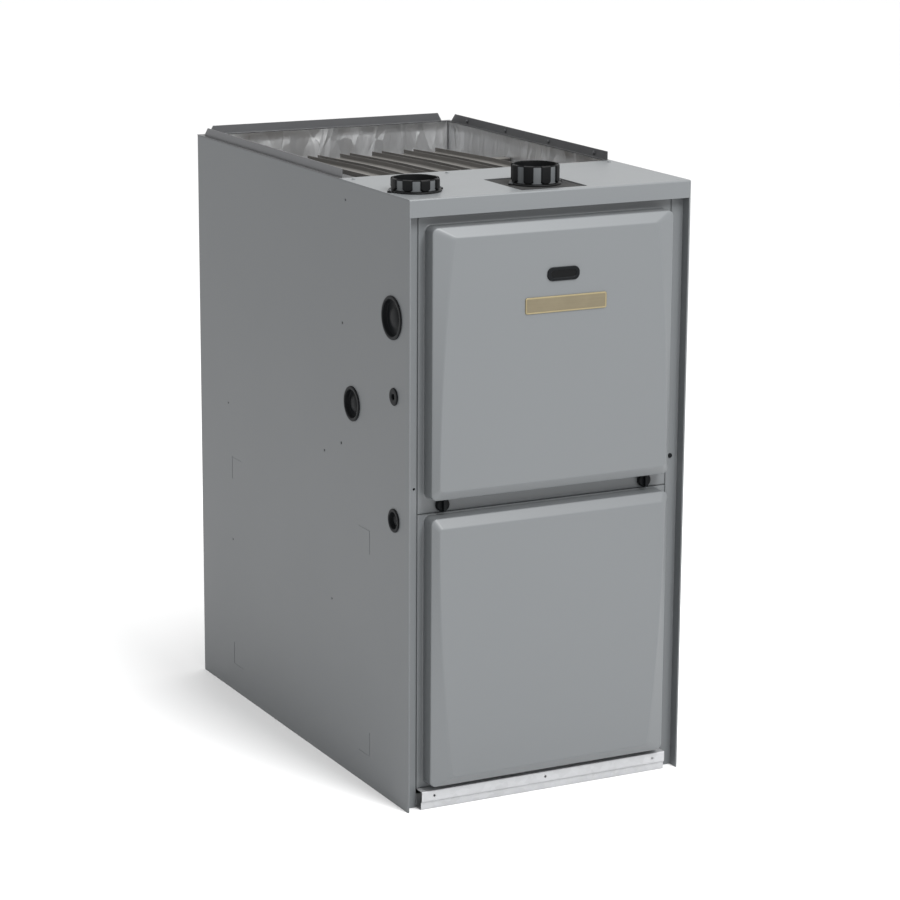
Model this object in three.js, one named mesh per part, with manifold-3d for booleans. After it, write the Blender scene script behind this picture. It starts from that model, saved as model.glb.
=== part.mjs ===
// Forced air gas furnace: an upright sheet-steel cabinet with two lift-off front doors,
// a blower below, and gas burners with a condensing heat exchanger above.
// Millimetres, +Z up. The front faces -Y, +X is to the right, and the origin is the
// centre of the cabinet's footprint on the floor.
import * as THREE from 'three';
import { mergeVertices } from 'three/addons/utils/BufferGeometryUtils.js';
import Module from 'manifold-3d';

const wasm = await Module();
wasm.setup();

// ---------------------------------------------------------------- driving dimensions
const CLEAR = 0.3; // gap kept between pieces that touch

// Cabinet
const CABINET_WIDTH = 444;
const CABINET_DEPTH = 750;
const CABINET_HEIGHT = 876;
const SKIN = 1; // sheet of the cabinet, doors and inner panels
const HEM_SETBACK = 17; // the front hems stand this far behind the side walls' edges
const HEM_WIDTH = 21;
const HEM_RETURN = 12;
const CAP_DEPTH = 225; // front part of the top that the cap covers
const CAP_LIP = 25;
const CAP_SKIRT = 15;
const PAN_RIM = 20;
const RAIL_HEIGHT = 28; // silver rail under the lower door
const RAIL_END_GAP = 22; // from the outside of the side wall to the rail's end

// Supply air collar round the opening in the top
const COLLAR_INSET = 5;
const COLLAR_RISE = 13;
const COLLAR_CORNER_GAP = 13;

// Doors: a flat flange, a steep wall, a sloping bevel and a flat face
const DOOR_SIDE_GAP = 0.5;
const DOOR_SEAM = 0.6; // between the two doors
const SEAM_ABOVE_DECK = 30.5; // the seam between the doors, over the blower deck
const DOOR_TOP_GAP = 2; // under the cap's lip
const DOOR_RETURN = 12;
const SIDE_FLANGE = 10;
const TOP_FLANGE = 13;
const CHANNEL_FLANGE = 23; // the upper door's bottom flange, which carries the knobs
const LOW_DOOR_TOP_FLANGE = 2.2;
const LOW_DOOR_BOTTOM_FLANGE = 7;
const WALL_RISE = 24; // steep wall of the raised panel
const BEVEL_RISE = 9;
const BEVEL_WIDTH = 14; // at the channel and at the top and bottom
const WAIST_INSET = 9; // side bevel at the end next to the channel
const WAIST_FALL = 1.6e-4; // how fast the side bevel widens away from the channel, 1/mm
const PANEL_CORNER = 9;
const FACE_CORNER = 6;

// Latch knobs
const KNOB_INSET = 37.5; // from the door's side edge
const KNOB_RADIUS = 10;
const KNOB_THICKNESS = 7;
const KNOB_GRIP_WIDTH = 6;
const KNOB_GRIP_RISE = 5;
const KNOB_SHAFT = 3;
const KNOB_SHAFT_REACH = 20;

// Sight window
const WINDOW_WIDTH = 50;
const WINDOW_HEIGHT = 18;
const WINDOW_BELOW_FIRE = 9; // its middle below the burners' axis
const WINDOW_OFFSET = 8; // to the right of the centre line
const WINDOW_RIM = 3;

// Vent couplings in the top
const EXHAUST_INSET = 44; // from the left side
const INTAKE_X = 10; // to the right of the centre line
const VENT_SETBACK = 72; // of both couplings behind the cabinet's front
const VENT_BORE = 30.3; // radius that takes the vent pipe
const VENT_SLEEVE = 32;
const VENT_LOBE = 34.6;
const VENT_LOBES = 8;
const VENT_FLANGE = 37;
const VENT_STEM = 14; // below the top of the cap
const EXHAUST_RISE = 19;
const INTAKE_RISE = 27;
const PIPE_WALL = 3.9;
const FLUE_STRAIGHT = 26; // at the pipe's top; half of it at the foot
const CUTOUT_WIDTH = 105;
const CUTOUT_DEPTH = 115;
const GASKET_LAP = 5;
const GASKET_THICKNESS = 1.5;

// Side wall plugs: distance behind the front edge or ahead of the cap's rear, and below the top
const UPPER_PLUG_SETBACK = 54;
const UPPER_PLUG_DROP = 171;
const UPPER_PLUG_RADIUS = 31;
const MIDDLE_PLUG_LEAD = 42;
const MIDDLE_PLUG_DROP = 318;
const MIDDLE_PLUG_RADIUS = 25.5;
const GROMMET_SETBACK = 47;
const GROMMET_DROP = 281;
const GROMMET_RADIUS = 12.5;
const LOWER_PLUG_SETBACK = 46.5;
const LOWER_PLUG_DROP = 12.5; // below the seam between the doors
const LOWER_PLUG_RADIUS = 17;
const PLUG_NECK = 3; // the plug's neck is this much smaller than its rim
const PLUG_RIM = 2;
const PLUG_DEPTH = 9;

// Inner walls
const DECK_FOLD = 12;
const PANEL_FOLD = 10;
const LINER_THICKNESS = 6;
const LINER_TOP_GAP = 8;
const CROSS_RAIL_HEIGHT = 50;
const CROSS_RAIL_RETURN = 25;

// Heat exchanger
const CELL_PITCH = 66;
const CELL_SIDE_SPACE = 160; // of the cabinet's width that the row of cells leaves free
const CELL_ROW_CENTRE = -5;
const CELL_THICKNESS = 34;
const CELL_PASS_GAP = 28; // between one pass and the next
const CELL_WALL = 1.5;
const FIRE_DROP = 106; // of the burners and the cells' inlets below the top
const CELL_FALL = 62; // from front to rear of the first pass
const CELL_COIL_GAP = 36; // from the coil's top to the last pass
const CELL_REAR_GAP = 45; // from the cells' outlets to the back wall
const CELL_FRONT_GAP = 34;
const HEADER_DEPTH = 33;
const HEADER_MARGIN = 22;
const COIL_SIDE_GAP = 29.7; // to the foil lining
const COIL_HEIGHT = 85;
const COIL_LIFT = 10; // above the blower deck
const FIN_COUNT = 17;
const FIN_THICKNESS = 2.5;
const COIL_BAR = 20; // square section of the tube banks through the fins
const COIL_BAR_COUNT = 3;

// Burners and gas train
const BURNER_BORE = 9;
const BURNER_RADIUS = 11;
const BURNER_MOUTH = 18;
const BURNER_FLANGE = 23;
const BURNER_INSET = 40; // of its mouth behind the front of the burner box
const FIRE_HOLE = 17;
const BOX_SIDE_MARGIN = 36; // of the burner box beyond the outer burners
const BOX_ABOVE = 46;
const BOX_BELOW = 48;
const BOX_SETBACK = 41.4; // behind the cabinet's front
const MANIFOLD_SIZE = 19;
const ORIFICE_RADIUS = 4;
const ORIFICE_REACH = 10;
const VALVE_WIDTH = 62;
const VALVE_DEPTH = 60;
const VALVE_HEIGHT = 84;
const VALVE_KNOB_RADIUS = 13;
const VALVE_KNOB_RISE = 11;
const PROBE_RADIUS = 6;
const PROBE_SETBACK = 16; // of the igniter and flame sensor in front of the inner panel
const SWITCH_RADIUS = 11;
const SWITCH_DEPTH = 8;
const RESET_RADIUS = 3;
const RESET_RISE = 3.5;
const RESET_TRAVEL = 1.5;

// Draught inducer and condensate parts
const COLLECTOR_DEPTH = 48;
const COLLECTOR_WIDTH = 210;
const COLLECTOR_DROP = 50.7; // of its top below the burner box
const INDUCER_DROP = 122; // of its shaft below the burner box
const INDUCER_OFFSET = 100; // of its shaft to the right of the exhaust pipe
const INDUCER_DEPTH = 55;
const INDUCER_WALL = 2.5;
const INDUCER_START = 62; // scroll radius at the cut-off
const INDUCER_WHEEL_RADIUS = 52;
const INDUCER_WHEEL_DEPTH = 28;
const INDUCER_BLADES = 12;
const INDUCER_MOTOR_RADIUS = 38;
const INDUCER_MOTOR_LENGTH = 66;
const INDUCER_OUTLET_RISE = 78; // over its shaft
const SHAFT_RADIUS = 4;
const PRESSURE_RADIUS = 30;
const PRESSURE_DEPTH = 26;
const PRESSURE_WALL_GAP = 70; // from its middle to the right side
const PRESSURE_LIFT = 30; // over the inducer's shaft
const PRESSURE_SPOUT = 13;
const HOSE_BEND = 14; // straight run at the hose's upper end
const HOSE_RADIUS = 3.5;
const HOSE_LIFT = 60; // of its lower end above the condensate trap
const TRAP_WIDTH = 70;
const TRAP_DEPTH = 55;
const TRAP_HEIGHT = 120;

// Blower
const BLOWER_WIDTH = 240;
const BLOWER_FLOOR_GAP = 15; // to the scroll's widest radius
const BLOWER_NECK = 53; // of the scroll's outlet, above its smallest radius
const BLOWER_PANEL_GAP = 4.3; // from the casing to the inner panel above it
const BLOWER_START = 142; // scroll radius at the cut-off
const BLOWER_SPREAD = 48; // how much the scroll opens by the front
const BLOWER_INLET = 112;
const WHEEL_RADIUS = 127;
const WHEEL_WIDTH = 203;
const WHEEL_BLADES = 24;
const BLADE_DEPTH = 18;
const BLADE_THICKNESS = 1.6;
const HUB_OFFSET = 22; // of the wheel's centre disc, right of the middle
const HUB_LENGTH = 26;
const HUB_RADIUS = 20;
const MOTOR_RADIUS = 70;
const MOTOR_LENGTH = 140;
const MOTOR_SHAFT = 6.4;
const BAND_WIDTH = 14;
const BAND_THICKNESS = 3;
const ARM_WIDTH = 16;
const ARM_THICKNESS = 4;

// Controls
const TRAY_HALF_WIDTH = 150;
const TRAY_HEIGHT = 120;
const TRAY_SETBACK = 70; // behind the cabinet's front
const TRAY_TOP_FLANGE = 20;
const TRAY_LOW_FLANGE = 12;
const BOARD_WIDTH = 150;
const BOARD_HEIGHT = 95;
const BOARD_THICKNESS = 2;
const BOARD_STANDOFF = 6;
const BOARD_INSET = 10; // from the tray's left end
const BOARD_DROP = 12; // below the blower deck
const POST_INSET = 8;
const POST_RADIUS = 3;
// Relays, terminal strip and connector blocks: place from the board's lower left corner, and size
const BOARD_BLOCKS = [
  { across: 14, up: 50, width: 18, height: 20, rise: 16 },
  { across: 40, up: 50, width: 18, height: 20, rise: 16 },
  { across: 66, up: 50, width: 18, height: 20, rise: 16 },
  { across: 94, up: 46, width: 22, height: 28, rise: 12 },
  { across: 124, up: 20, width: 12, height: 60, rise: 10 },
  { across: 14, up: 14, width: 44, height: 14, rise: 10 },
  { across: 66, up: 14, width: 26, height: 18, rise: 8 },
];
const TRANSFORMER_SIZE = 52; // of its square core
const TRANSFORMER_INSET = 12; // of its foot from the tray's right end
const TRANSFORMER_DROP = 24; // of its core below the blower deck
const TRANSFORMER_FOOT = 2;
const TRANSFORMER_FOOT_HEIGHT = 20;
const CORE_DEPTH = 34;
const COIL_BULGE = 10; // of the winding in front of the core
const COIL_INSET = 10; // of the winding from the core's sides
const COIL_OVERHANG = 8; // of the winding above and below the core
const PLUNGER_RADIUS = 3;
const PLUNGER_TRAVEL = 4;
const DOOR_SWITCH_X = 100;
const DOOR_SWITCH_SIZE = 20;
const DOOR_SWITCH_DEPTH = 28;

// ---------------------------------------------------------------- places worked out
const LEFT = -CABINET_WIDTH / 2;
const RIGHT = CABINET_WIDTH / 2;
const FRONT = -CABINET_DEPTH / 2;
const BACK = CABINET_DEPTH / 2;
const TOP = CABINET_HEIGHT;
const BLOWER_SHAFT_HEIGHT = BLOWER_FLOOR_GAP + BLOWER_START + BLOWER_SPREAD;
const DECK_HEIGHT = BLOWER_SHAFT_HEIGHT + BLOWER_START + BLOWER_NECK; // its underside
const SEAM_HEIGHT = DECK_HEIGHT + SEAM_ABOVE_DECK;
const FIRE_HEIGHT = TOP - FIRE_DROP;
const INSIDE = RIGHT - SKIN - CLEAR; // half-width of what fits between the side walls
const INSIDE_BACK = BACK - SKIN - CLEAR;
const WALL_TOP = TOP - SKIN - CLEAR;
const HEM_FACE = FRONT + HEM_SETBACK;
const HEM_INNER = RIGHT - HEM_WIDTH;
const CAP_REAR = FRONT + CAP_DEPTH;
const SKIRT_BACK = CAP_REAR - SKIN;
const PANEL_BACK = SKIRT_BACK - SKIN - CLEAR; // the inner panel stands in front of the skirt
const PANEL_FRONT = PANEL_BACK - SKIN;
const DECK_TOP = DECK_HEIGHT + SKIN;
const CROSS_RAIL_FACE = HEM_FACE + Math.max(DOOR_RETURN, HEM_RETURN) + CLEAR;
const KNOB_HEIGHT = SEAM_HEIGHT + DOOR_SEAM / 2 + CHANNEL_FLANGE / 2;
const CHANNEL_TOP = SEAM_HEIGHT + DOOR_SEAM / 2 + CHANNEL_FLANGE;
const VENT_Y = FRONT + VENT_SETBACK;
const SIDE_PLUGS = [
  ['side_plug_upper', FRONT + UPPER_PLUG_SETBACK, TOP - UPPER_PLUG_DROP, UPPER_PLUG_RADIUS],
  ['side_plug_middle', CAP_REAR - MIDDLE_PLUG_LEAD, TOP - MIDDLE_PLUG_DROP, MIDDLE_PLUG_RADIUS],
  ['side_grommet', FRONT + GROMMET_SETBACK, TOP - GROMMET_DROP, GROMMET_RADIUS],
  ['side_plug_lower', FRONT + LOWER_PLUG_SETBACK, SEAM_HEIGHT - LOWER_PLUG_DROP, LOWER_PLUG_RADIUS],
].map(([name, y, z, radius]) => ({ name, y, z, radius }));
const DOOR_FACE = HEM_FACE - WALL_RISE - BEVEL_RISE;
const DOOR_HALF_WIDTH = HEM_INNER - DOOR_SIDE_GAP;
const UPPER_DOOR = {
  low: SEAM_HEIGHT + DOOR_SEAM / 2,
  high: TOP - CAP_LIP - DOOR_TOP_GAP,
  lowFlange: CHANNEL_FLANGE,
  highFlange: TOP_FLANGE,
  channelAtLow: true,
};
const LOWER_DOOR = {
  low: RAIL_HEIGHT + CLEAR,
  high: SEAM_HEIGHT - DOOR_SEAM / 2,
  lowFlange: LOW_DOOR_BOTTOM_FLANGE,
  highFlange: LOW_DOOR_TOP_FLANGE,
  channelAtLow: false,
};
const KNOB_SPREAD = DOOR_HALF_WIDTH - KNOB_INSET; // from the centre line
const WINDOW_HEIGHT_Z = FIRE_HEIGHT - WINDOW_BELOW_FIRE;
const EXHAUST_X = LEFT + EXHAUST_INSET;
const CELL_COUNT = Math.floor((CABINET_WIDTH - CELL_SIDE_SPACE) / CELL_PITCH);
const BURNER_XS = Array.from({ length: CELL_COUNT },
  (_, i) => CELL_ROW_CENTRE + (i - (CELL_COUNT - 1) / 2) * CELL_PITCH);
const CELL_FRONT = PANEL_BACK + CLEAR;
const CELL_REAR = BACK - CELL_REAR_GAP;
const BLOWER_SHAFT_Y = PANEL_BACK + BLOWER_PANEL_GAP + BLOWER_SPREAD + BLOWER_START;
const COIL_HALF_WIDTH = INSIDE - LINER_THICKNESS - COIL_SIDE_GAP;
const COIL_BOTTOM = DECK_TOP + COIL_LIFT;
const COIL_TOP = COIL_BOTTOM + COIL_HEIGHT;
// Three passes and the two gaps between them fill the height over the coil.
const CELL_HEIGHT = (FIRE_HEIGHT - CELL_FALL - COIL_TOP - CELL_COIL_GAP - 2 * CELL_PASS_GAP) / 2.5;
const CELL_HALF_HEIGHT = CELL_HEIGHT / 2;
const CELL_TURN = (CELL_HEIGHT + CELL_PASS_GAP) / 2; // radius of the turns between passes
const PASS_2 = FIRE_HEIGHT - CELL_FALL - 2 * CELL_TURN;
const PASS_3 = PASS_2 - 2 * CELL_TURN;
const BOX_LEFT = BURNER_XS[0] - BOX_SIDE_MARGIN;
const BOX_RIGHT = BURNER_XS[CELL_COUNT - 1] + BOX_SIDE_MARGIN;
const BOX_LOW = FIRE_HEIGHT - BOX_BELOW;
const BOX_HIGH = FIRE_HEIGHT + BOX_ABOVE;
const BOX_REAR = PANEL_FRONT - CLEAR;
const BOX_FRONT = FRONT + BOX_SETBACK;
const BURNER_REAR = PANEL_FRONT - CLEAR;
const BURNER_FRONT = BOX_FRONT + BURNER_INSET;
const MANIFOLD_Y = BURNER_FRONT - CLEAR - ORIFICE_REACH - MANIFOLD_SIZE / 2;
const INDUCER_X = EXHAUST_X + INDUCER_OFFSET;
const INDUCER_HEIGHT = BOX_LOW - INDUCER_DROP;
const INDUCER_OUTLET_TOP = INDUCER_HEIGHT + INDUCER_OUTLET_RISE;
const COLLECTOR_REAR = PANEL_FRONT - CLEAR;
const COLLECTOR_FRONT = COLLECTOR_REAR - COLLECTOR_DEPTH;
const INDUCER_REAR = COLLECTOR_FRONT - CLEAR;
const INDUCER_FRONT = INDUCER_REAR - INDUCER_DEPTH;
const INDUCER_Y = (INDUCER_REAR + INDUCER_FRONT) / 2;
const TRAY_Y = FRONT + TRAY_SETBACK;

// ---------------------------------------------------------------- finishes
const finish = (colour, roughness, metalness) =>
  new THREE.MeshStandardMaterial({ color: colour, roughness, metalness });
const PAINT_BODY = () => finish(0x8b9092, 0.55, 0.35);
const PAINT_DOOR = () => finish(0x999ea0, 0.5, 0.35);
const GALVANISED = () => finish(0xb9babb, 0.4, 0.85);
const DARK_STEEL = () => finish(0x5d5f61, 0.5, 0.8);
const BLACK_PLASTIC = () => finish(0x17191b, 0.55, 0);
const FOIL = () => finish(0xc4c5c7, 0.3, 0.9);
const ALUMINISED = () => finish(0x6f6a63, 0.5, 0.75);
const ALUMINIUM = () => finish(0xa9abad, 0.45, 0.85);
const PVC = () => finish(0xe4e2da, 0.5, 0);
const BOARD_GREEN = () => finish(0x2c5a3c, 0.55, 0.05);
const CERAMIC = () => finish(0xd8d4c8, 0.7, 0);

// ---------------------------------------------------------------- shape helpers
const GRID = 1e-3; // coordinates are rounded to this, so faces meant to meet do so exactly

// A closed three.js geometry as a solid, with its faces turned to point out.
function solidOf(geometry) {
  const bare = new THREE.BufferGeometry();
  bare.setAttribute('position', geometry.getAttribute('position'));
  bare.setIndex(geometry.getIndex());
  const merged = mergeVertices(bare, 1e-4);
  const at = merged.getAttribute('position').array.map((v) => Math.round(v / GRID) * GRID);
  const all = merged.getIndex().array;
  const kept = [];
  let volume = 0;
  for (let i = 0; i < all.length; i += 3) {
    const [a, b, c] = [all[i], all[i + 1], all[i + 2]];
    if (a === b || b === c || c === a) continue;
    kept.push(a, b, c);
    const [p, q, r] = [a, b, c].map((k) => new THREE.Vector3().fromArray(at, 3 * k));
    volume += p.dot(q.cross(r));
  }
  if (volume < 0) kept.reverse();
  return new wasm.Manifold(new wasm.Mesh({
    numProp: 3,
    vertProperties: at,
    triVerts: new Uint32Array(kept),
  }));
}

function geometryOf(solid) {
  const { vertProperties, triVerts } = solid.getMesh();
  const geometry = new THREE.BufferGeometry();
  geometry.setAttribute('position', new THREE.BufferAttribute(vertProperties, 3));
  geometry.setIndex(new THREE.BufferAttribute(triVerts, 1));
  return geometry;
}

const join = (first, ...others) => others.reduce((whole, one) => whole.add(one), first);
const cut = (first, ...others) => others.reduce((whole, one) => whole.subtract(one), first);

// A block between two corners. Each pair of limits may come in either order.
function block(xs, ys, zs) {
  const spans = [xs, ys, zs].map(([a, b]) => Math.abs(b - a));
  const middles = [xs, ys, zs].map(([a, b]) => (a + b) / 2);
  return solidOf(new THREE.BoxGeometry(...spans).translate(...middles));
}

// Turns a geometry whose long axis is +Y so that it lies along the named axis.
function along(geometry, axis) {
  if (axis === 'x') geometry.rotateZ(-Math.PI / 2);
  if (axis === 'z') geometry.rotateX(Math.PI / 2);
  return geometry;
}

// Puts a thing lying along an axis at the two other coordinates.
const placeOf = (axis, a, b) => ({ x: [0, a, b], y: [a, 0, b], z: [a, b, 0] })[axis];

function rod(axis, radius, [from, to], [a, b], sides = 20) {
  const length = Math.abs(to - from);
  const geometry = new THREE.CylinderGeometry(radius, radius, length, sides);
  along(geometry.translate(0, (from + to) / 2, 0), axis);
  return solidOf(geometry.translate(...placeOf(axis, a, b)));
}

// A turned piece. The profile holds [radius, distance along the axis] pairs.
function turned(axis, profile, [a, b], sides = 20) {
  const points = profile.map(([radius, at]) => new THREE.Vector2(radius, at));
  const geometry = along(new THREE.LatheGeometry(points, sides), axis);
  return solidOf(geometry.translate(...placeOf(axis, a, b)));
}

const ring = (axis, inner, outer, [from, to], centre, sides = 20) => turned(axis, [
  [inner, from], [outer, from], [outer, to], [inner, to], [inner, from],
], centre, sides);

// An outline drawn in a plane and given thickness across it.
const PLANES = {
  xy: [[1, 0, 0], [0, 1, 0], [0, 0, 1], 1],
  yz: [[0, 1, 0], [0, 0, 1], [1, 0, 0], 1],
  xz: [[1, 0, 0], [0, 0, 1], [0, -1, 0], -1],
};

function slab(plane, shape, [from, to], curveSegments = 6) {
  const [u, v, w, sense] = PLANES[plane];
  const depth = Math.abs(to - from);
  const start = sense > 0 ? Math.min(from, to) : -Math.max(from, to);
  const geometry = new THREE.ExtrudeGeometry(shape, { depth, bevelEnabled: false, curveSegments });
  geometry.translate(0, 0, start);
  const turn = new THREE.Matrix4().makeBasis(...[u, v, w].map((axis) => new THREE.Vector3(...axis)));
  return solidOf(geometry.applyMatrix4(turn));
}

function roundedRectangle([u0, u1], [v0, v1], radius) {
  const shape = new THREE.Shape();
  shape.moveTo(u0 + radius, v0);
  shape.lineTo(u1 - radius, v0);
  shape.absarc(u1 - radius, v0 + radius, radius, -Math.PI / 2, 0);
  shape.lineTo(u1, v1 - radius);
  shape.absarc(u1 - radius, v1 - radius, radius, 0, Math.PI / 2);
  shape.lineTo(u0 + radius, v1);
  shape.absarc(u0 + radius, v1 - radius, radius, Math.PI / 2, Math.PI);
  shape.lineTo(u0, v0 + radius);
  shape.absarc(u0 + radius, v0 + radius, radius, Math.PI, 1.5 * Math.PI);
  return shape;
}

const polygon = (points) => new THREE.Shape(points.map(([u, v]) => new THREE.Vector2(u, v)));

// An outline with two like halves, given by the points of the half at positive u.
const twoSided = (half) => polygon([...half, ...half.toReversed().map(([u, v]) => [-u, v])]);

// A tube along a path of [x, y, z] points, straight or smooth between them.
function tube(path, radius, sides, steps, bore = 0) {
  const shape = new THREE.Shape();
  const circle = (r) => Array.from({ length: sides }, (_, i) => {
    const angle = (2 * Math.PI * i) / sides;
    return new THREE.Vector2(r * Math.cos(angle), r * Math.sin(angle));
  });
  shape.setFromPoints(circle(radius));
  if (bore > 0) shape.holes.push(new THREE.Path(circle(bore)));
  return solidOf(new THREE.ExtrudeGeometry(shape, { extrudePath: path, steps }));
}

const smoothPath = (points) =>
  new THREE.CatmullRomCurve3(points.map((p) => new THREE.Vector3(...p)), false, 'centripetal');

const SIDES = [-1, 1];

// ---------------------------------------------------------------- cabinet
function cabinetWrapper() {
  const wallInner = RIGHT - SKIN;
  const returnInner = HEM_INNER + SKIN;
  const returnRear = HEM_FACE + HEM_RETURN;
  const sheet = slab('xy', twoSided([
    [RIGHT, BACK], [RIGHT, FRONT], [wallInner, FRONT], [wallInner, HEM_FACE], [HEM_INNER, HEM_FACE],
    [HEM_INNER, returnRear], [returnInner, returnRear], [returnInner, HEM_FACE + SKIN],
    [wallInner, HEM_FACE + SKIN], [wallInner, BACK - SKIN],
  ]), [0, WALL_TOP]);
  const lipRoom = block([LEFT - 1, RIGHT + 1], [FRONT - 1, FRONT + SKIN + CLEAR],
    [TOP - CAP_LIP - CLEAR, TOP]);
  const panRoom = SIDES.map((side) => block([side * (HEM_INNER - 1), side * (returnInner + 1)],
    [HEM_FACE + SKIN + CLEAR, returnRear + 1], [-1, PAN_RIM + CLEAR]));
  const holes = SIDE_PLUGS.map((plug) => rod('x', plug.radius - PLUG_NECK + CLEAR,
    [LEFT - 1, LEFT + SKIN + 1], [plug.y, plug.z]));
  return cut(sheet, lipRoom, ...panRoom, ...holes);
}

function topCap() {
  const sheet = slab('yz', polygon([
    [FRONT, TOP - CAP_LIP], [FRONT, TOP], [CAP_REAR, TOP], [CAP_REAR, TOP - SKIN],
    [FRONT + SKIN, TOP - SKIN], [FRONT + SKIN, TOP - CAP_LIP],
  ]), [LEFT, RIGHT]);
  const skirt = block([-INSIDE, INSIDE], [SKIRT_BACK - SKIN, SKIRT_BACK],
    [TOP - CAP_SKIRT, TOP - SKIN / 2]);
  return cut(
    join(sheet, skirt),
    rod('z', VENT_SLEEVE + CLEAR, [TOP - 2 * SKIN, TOP + 1], [EXHAUST_X, VENT_Y], 24),
    block(
      [INTAKE_X - CUTOUT_WIDTH / 2, INTAKE_X + CUTOUT_WIDTH / 2],
      [VENT_Y - CUTOUT_DEPTH / 2, VENT_Y + CUTOUT_DEPTH / 2],
      [TOP - 2 * SKIN, TOP + 1],
    ),
  );
}

// Three upright flanges on a flat ledge, open at the front where the cap ends.
function supplyCollar() {
  const front = CAP_REAR + CLEAR;
  const flangeX = RIGHT - COLLAR_INSET;
  const flangeY = BACK - COLLAR_INSET;
  const foot = TOP - SKIN / 2;
  const crest = TOP + COLLAR_RISE;
  const cornerX = flangeX - COLLAR_CORNER_GAP;
  const cornerY = flangeY - COLLAR_CORNER_GAP;
  const inner = COLLAR_INSET + 2 * SKIN;
  const ledge = slab('xy', twoSided([
    [RIGHT, BACK], [RIGHT, front], [RIGHT - inner, front], [RIGHT - inner, BACK - inner],
  ]), [TOP - SKIN, TOP]);
  const rearFlange = slab('xz', twoSided([
    [cornerX, foot], [cornerX, TOP + 1], [cornerX - COLLAR_RISE / 2, crest],
  ]), [flangeY - SKIN, flangeY]);
  const sideFlanges = SIDES.map((side) => slab('yz', polygon([
    [front + SKIN, foot], [cornerY, foot], [cornerY, TOP + 1], [cornerY - COLLAR_RISE, crest],
    [front + SKIN, crest],
  ]), [side * (flangeX - SKIN), side * flangeX]));
  return join(ledge, rearFlange, ...sideFlanges);
}

function basePan() {
  const front = HEM_FACE + SKIN + 2 * CLEAR;
  const inner = INSIDE - SKIN;
  return cut(
    block([-INSIDE, INSIDE], [front, INSIDE_BACK], [0, PAN_RIM]),
    block([-inner, inner], [front + SKIN, INSIDE_BACK - SKIN], [SKIN, PAN_RIM + 1]),
  );
}

function baseRail() {
  const rear = HEM_FACE + SKIN;
  const inner = FRONT + SKIN;
  return slab('yz', polygon([
    [FRONT, 0], [FRONT, RAIL_HEIGHT], [rear, RAIL_HEIGHT], [rear, RAIL_HEIGHT - SKIN],
    [inner, RAIL_HEIGHT - SKIN], [inner, SKIN], [rear, SKIN], [rear, 0],
  ]), [LEFT + RAIL_END_GAP, RIGHT - RAIL_END_GAP]);
}

// The rail between the compartments. The knobs' shafts and the door switch pass through it.
function crossRail() {
  const low = KNOB_HEIGHT - CROSS_RAIL_HEIGHT / 2;
  const high = KNOB_HEIGHT + CROSS_RAIL_HEIGHT / 2;
  const returnHalf = RIGHT - PLUG_DEPTH - 3 * SKIN; // stops short of the side plugs
  const returns = [low + SKIN, high - 2 * SKIN].map((z) => block([-returnHalf, returnHalf],
    [CROSS_RAIL_FACE + SKIN / 2, CROSS_RAIL_FACE + CROSS_RAIL_RETURN], [z, z + SKIN]));
  const through = [CROSS_RAIL_FACE - 1, CROSS_RAIL_FACE + SKIN + 1];
  return cut(
    join(block([-INSIDE, INSIDE], [CROSS_RAIL_FACE, CROSS_RAIL_FACE + SKIN], [low, high]), ...returns),
    ...SIDES.map((side) => rod('y', KNOB_SHAFT + CLEAR, through, [side * KNOB_SPREAD, KNOB_HEIGHT])),
    rod('y', PLUNGER_RADIUS + CLEAR, through, [DOOR_SWITCH_X, KNOB_HEIGHT]),
  );
}

function blowerDeck() {
  const front = CROSS_RAIL_FACE + CROSS_RAIL_RETURN;
  const low = DECK_HEIGHT - DECK_FOLD;
  const inner = INSIDE - SKIN;
  const outlet = blowerOutlet();
  return cut(
    block([-INSIDE, INSIDE], [front, INSIDE_BACK], [low, DECK_TOP]),
    block([-inner, inner], [front + SKIN, INSIDE_BACK + 1], [low - 1, DECK_HEIGHT]),
    block([-outlet.half + SKIN, outlet.half - SKIN], [outlet.front + SKIN, outlet.rear - SKIN],
      [DECK_HEIGHT - 1, DECK_TOP + 1]),
  );
}

// Upright panel between the burner compartment and the heat exchanger.
function vestibulePanel() {
  const foldFront = PANEL_FRONT - PANEL_FOLD;
  const panel = slab('xy', twoSided([
    [INSIDE, PANEL_BACK], [INSIDE, foldFront], [INSIDE - SKIN, foldFront], [INSIDE - SKIN, PANEL_FRONT],
  ]), [DECK_TOP + CLEAR, WALL_TOP]);
  const fireHoles = BURNER_XS.map((x) => rod('y', FIRE_HOLE,
    [PANEL_FRONT - 1, PANEL_BACK + 1], [x, FIRE_HEIGHT]));
  const coilMargin = HEADER_MARGIN + COLLECTOR_DEPTH;
  const drainSlot = block(
    [INDUCER_X - COLLECTOR_WIDTH / 2 + coilMargin, INDUCER_X + COLLECTOR_WIDTH / 2 - coilMargin],
    [PANEL_FRONT - 1, PANEL_BACK + 1],
    [COIL_BOTTOM + HEADER_MARGIN, COIL_TOP - HEADER_MARGIN],
  );
  return cut(panel, ...fireHoles, drainSlot);
}

// Foil-faced lining. Each sheet stands against its wall above the deck.
function liner(wall) {
  const height = [DECK_TOP + CLEAR, WALL_TOP - LINER_TOP_GAP];
  const between = INSIDE - LINER_THICKNESS - CLEAR;
  if (wall === 'back') {
    return block([-between, between], [INSIDE_BACK - LINER_THICKNESS, INSIDE_BACK], height);
  }
  const side = wall === 'left' ? -1 : 1;
  return block([side * (INSIDE - LINER_THICKNESS), side * INSIDE], [CAP_REAR + CLEAR, INSIDE_BACK], height);
}

// ---------------------------------------------------------------- doors
const CORNER_STEPS = 4;
const SIDE_STEPS = 8;

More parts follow.
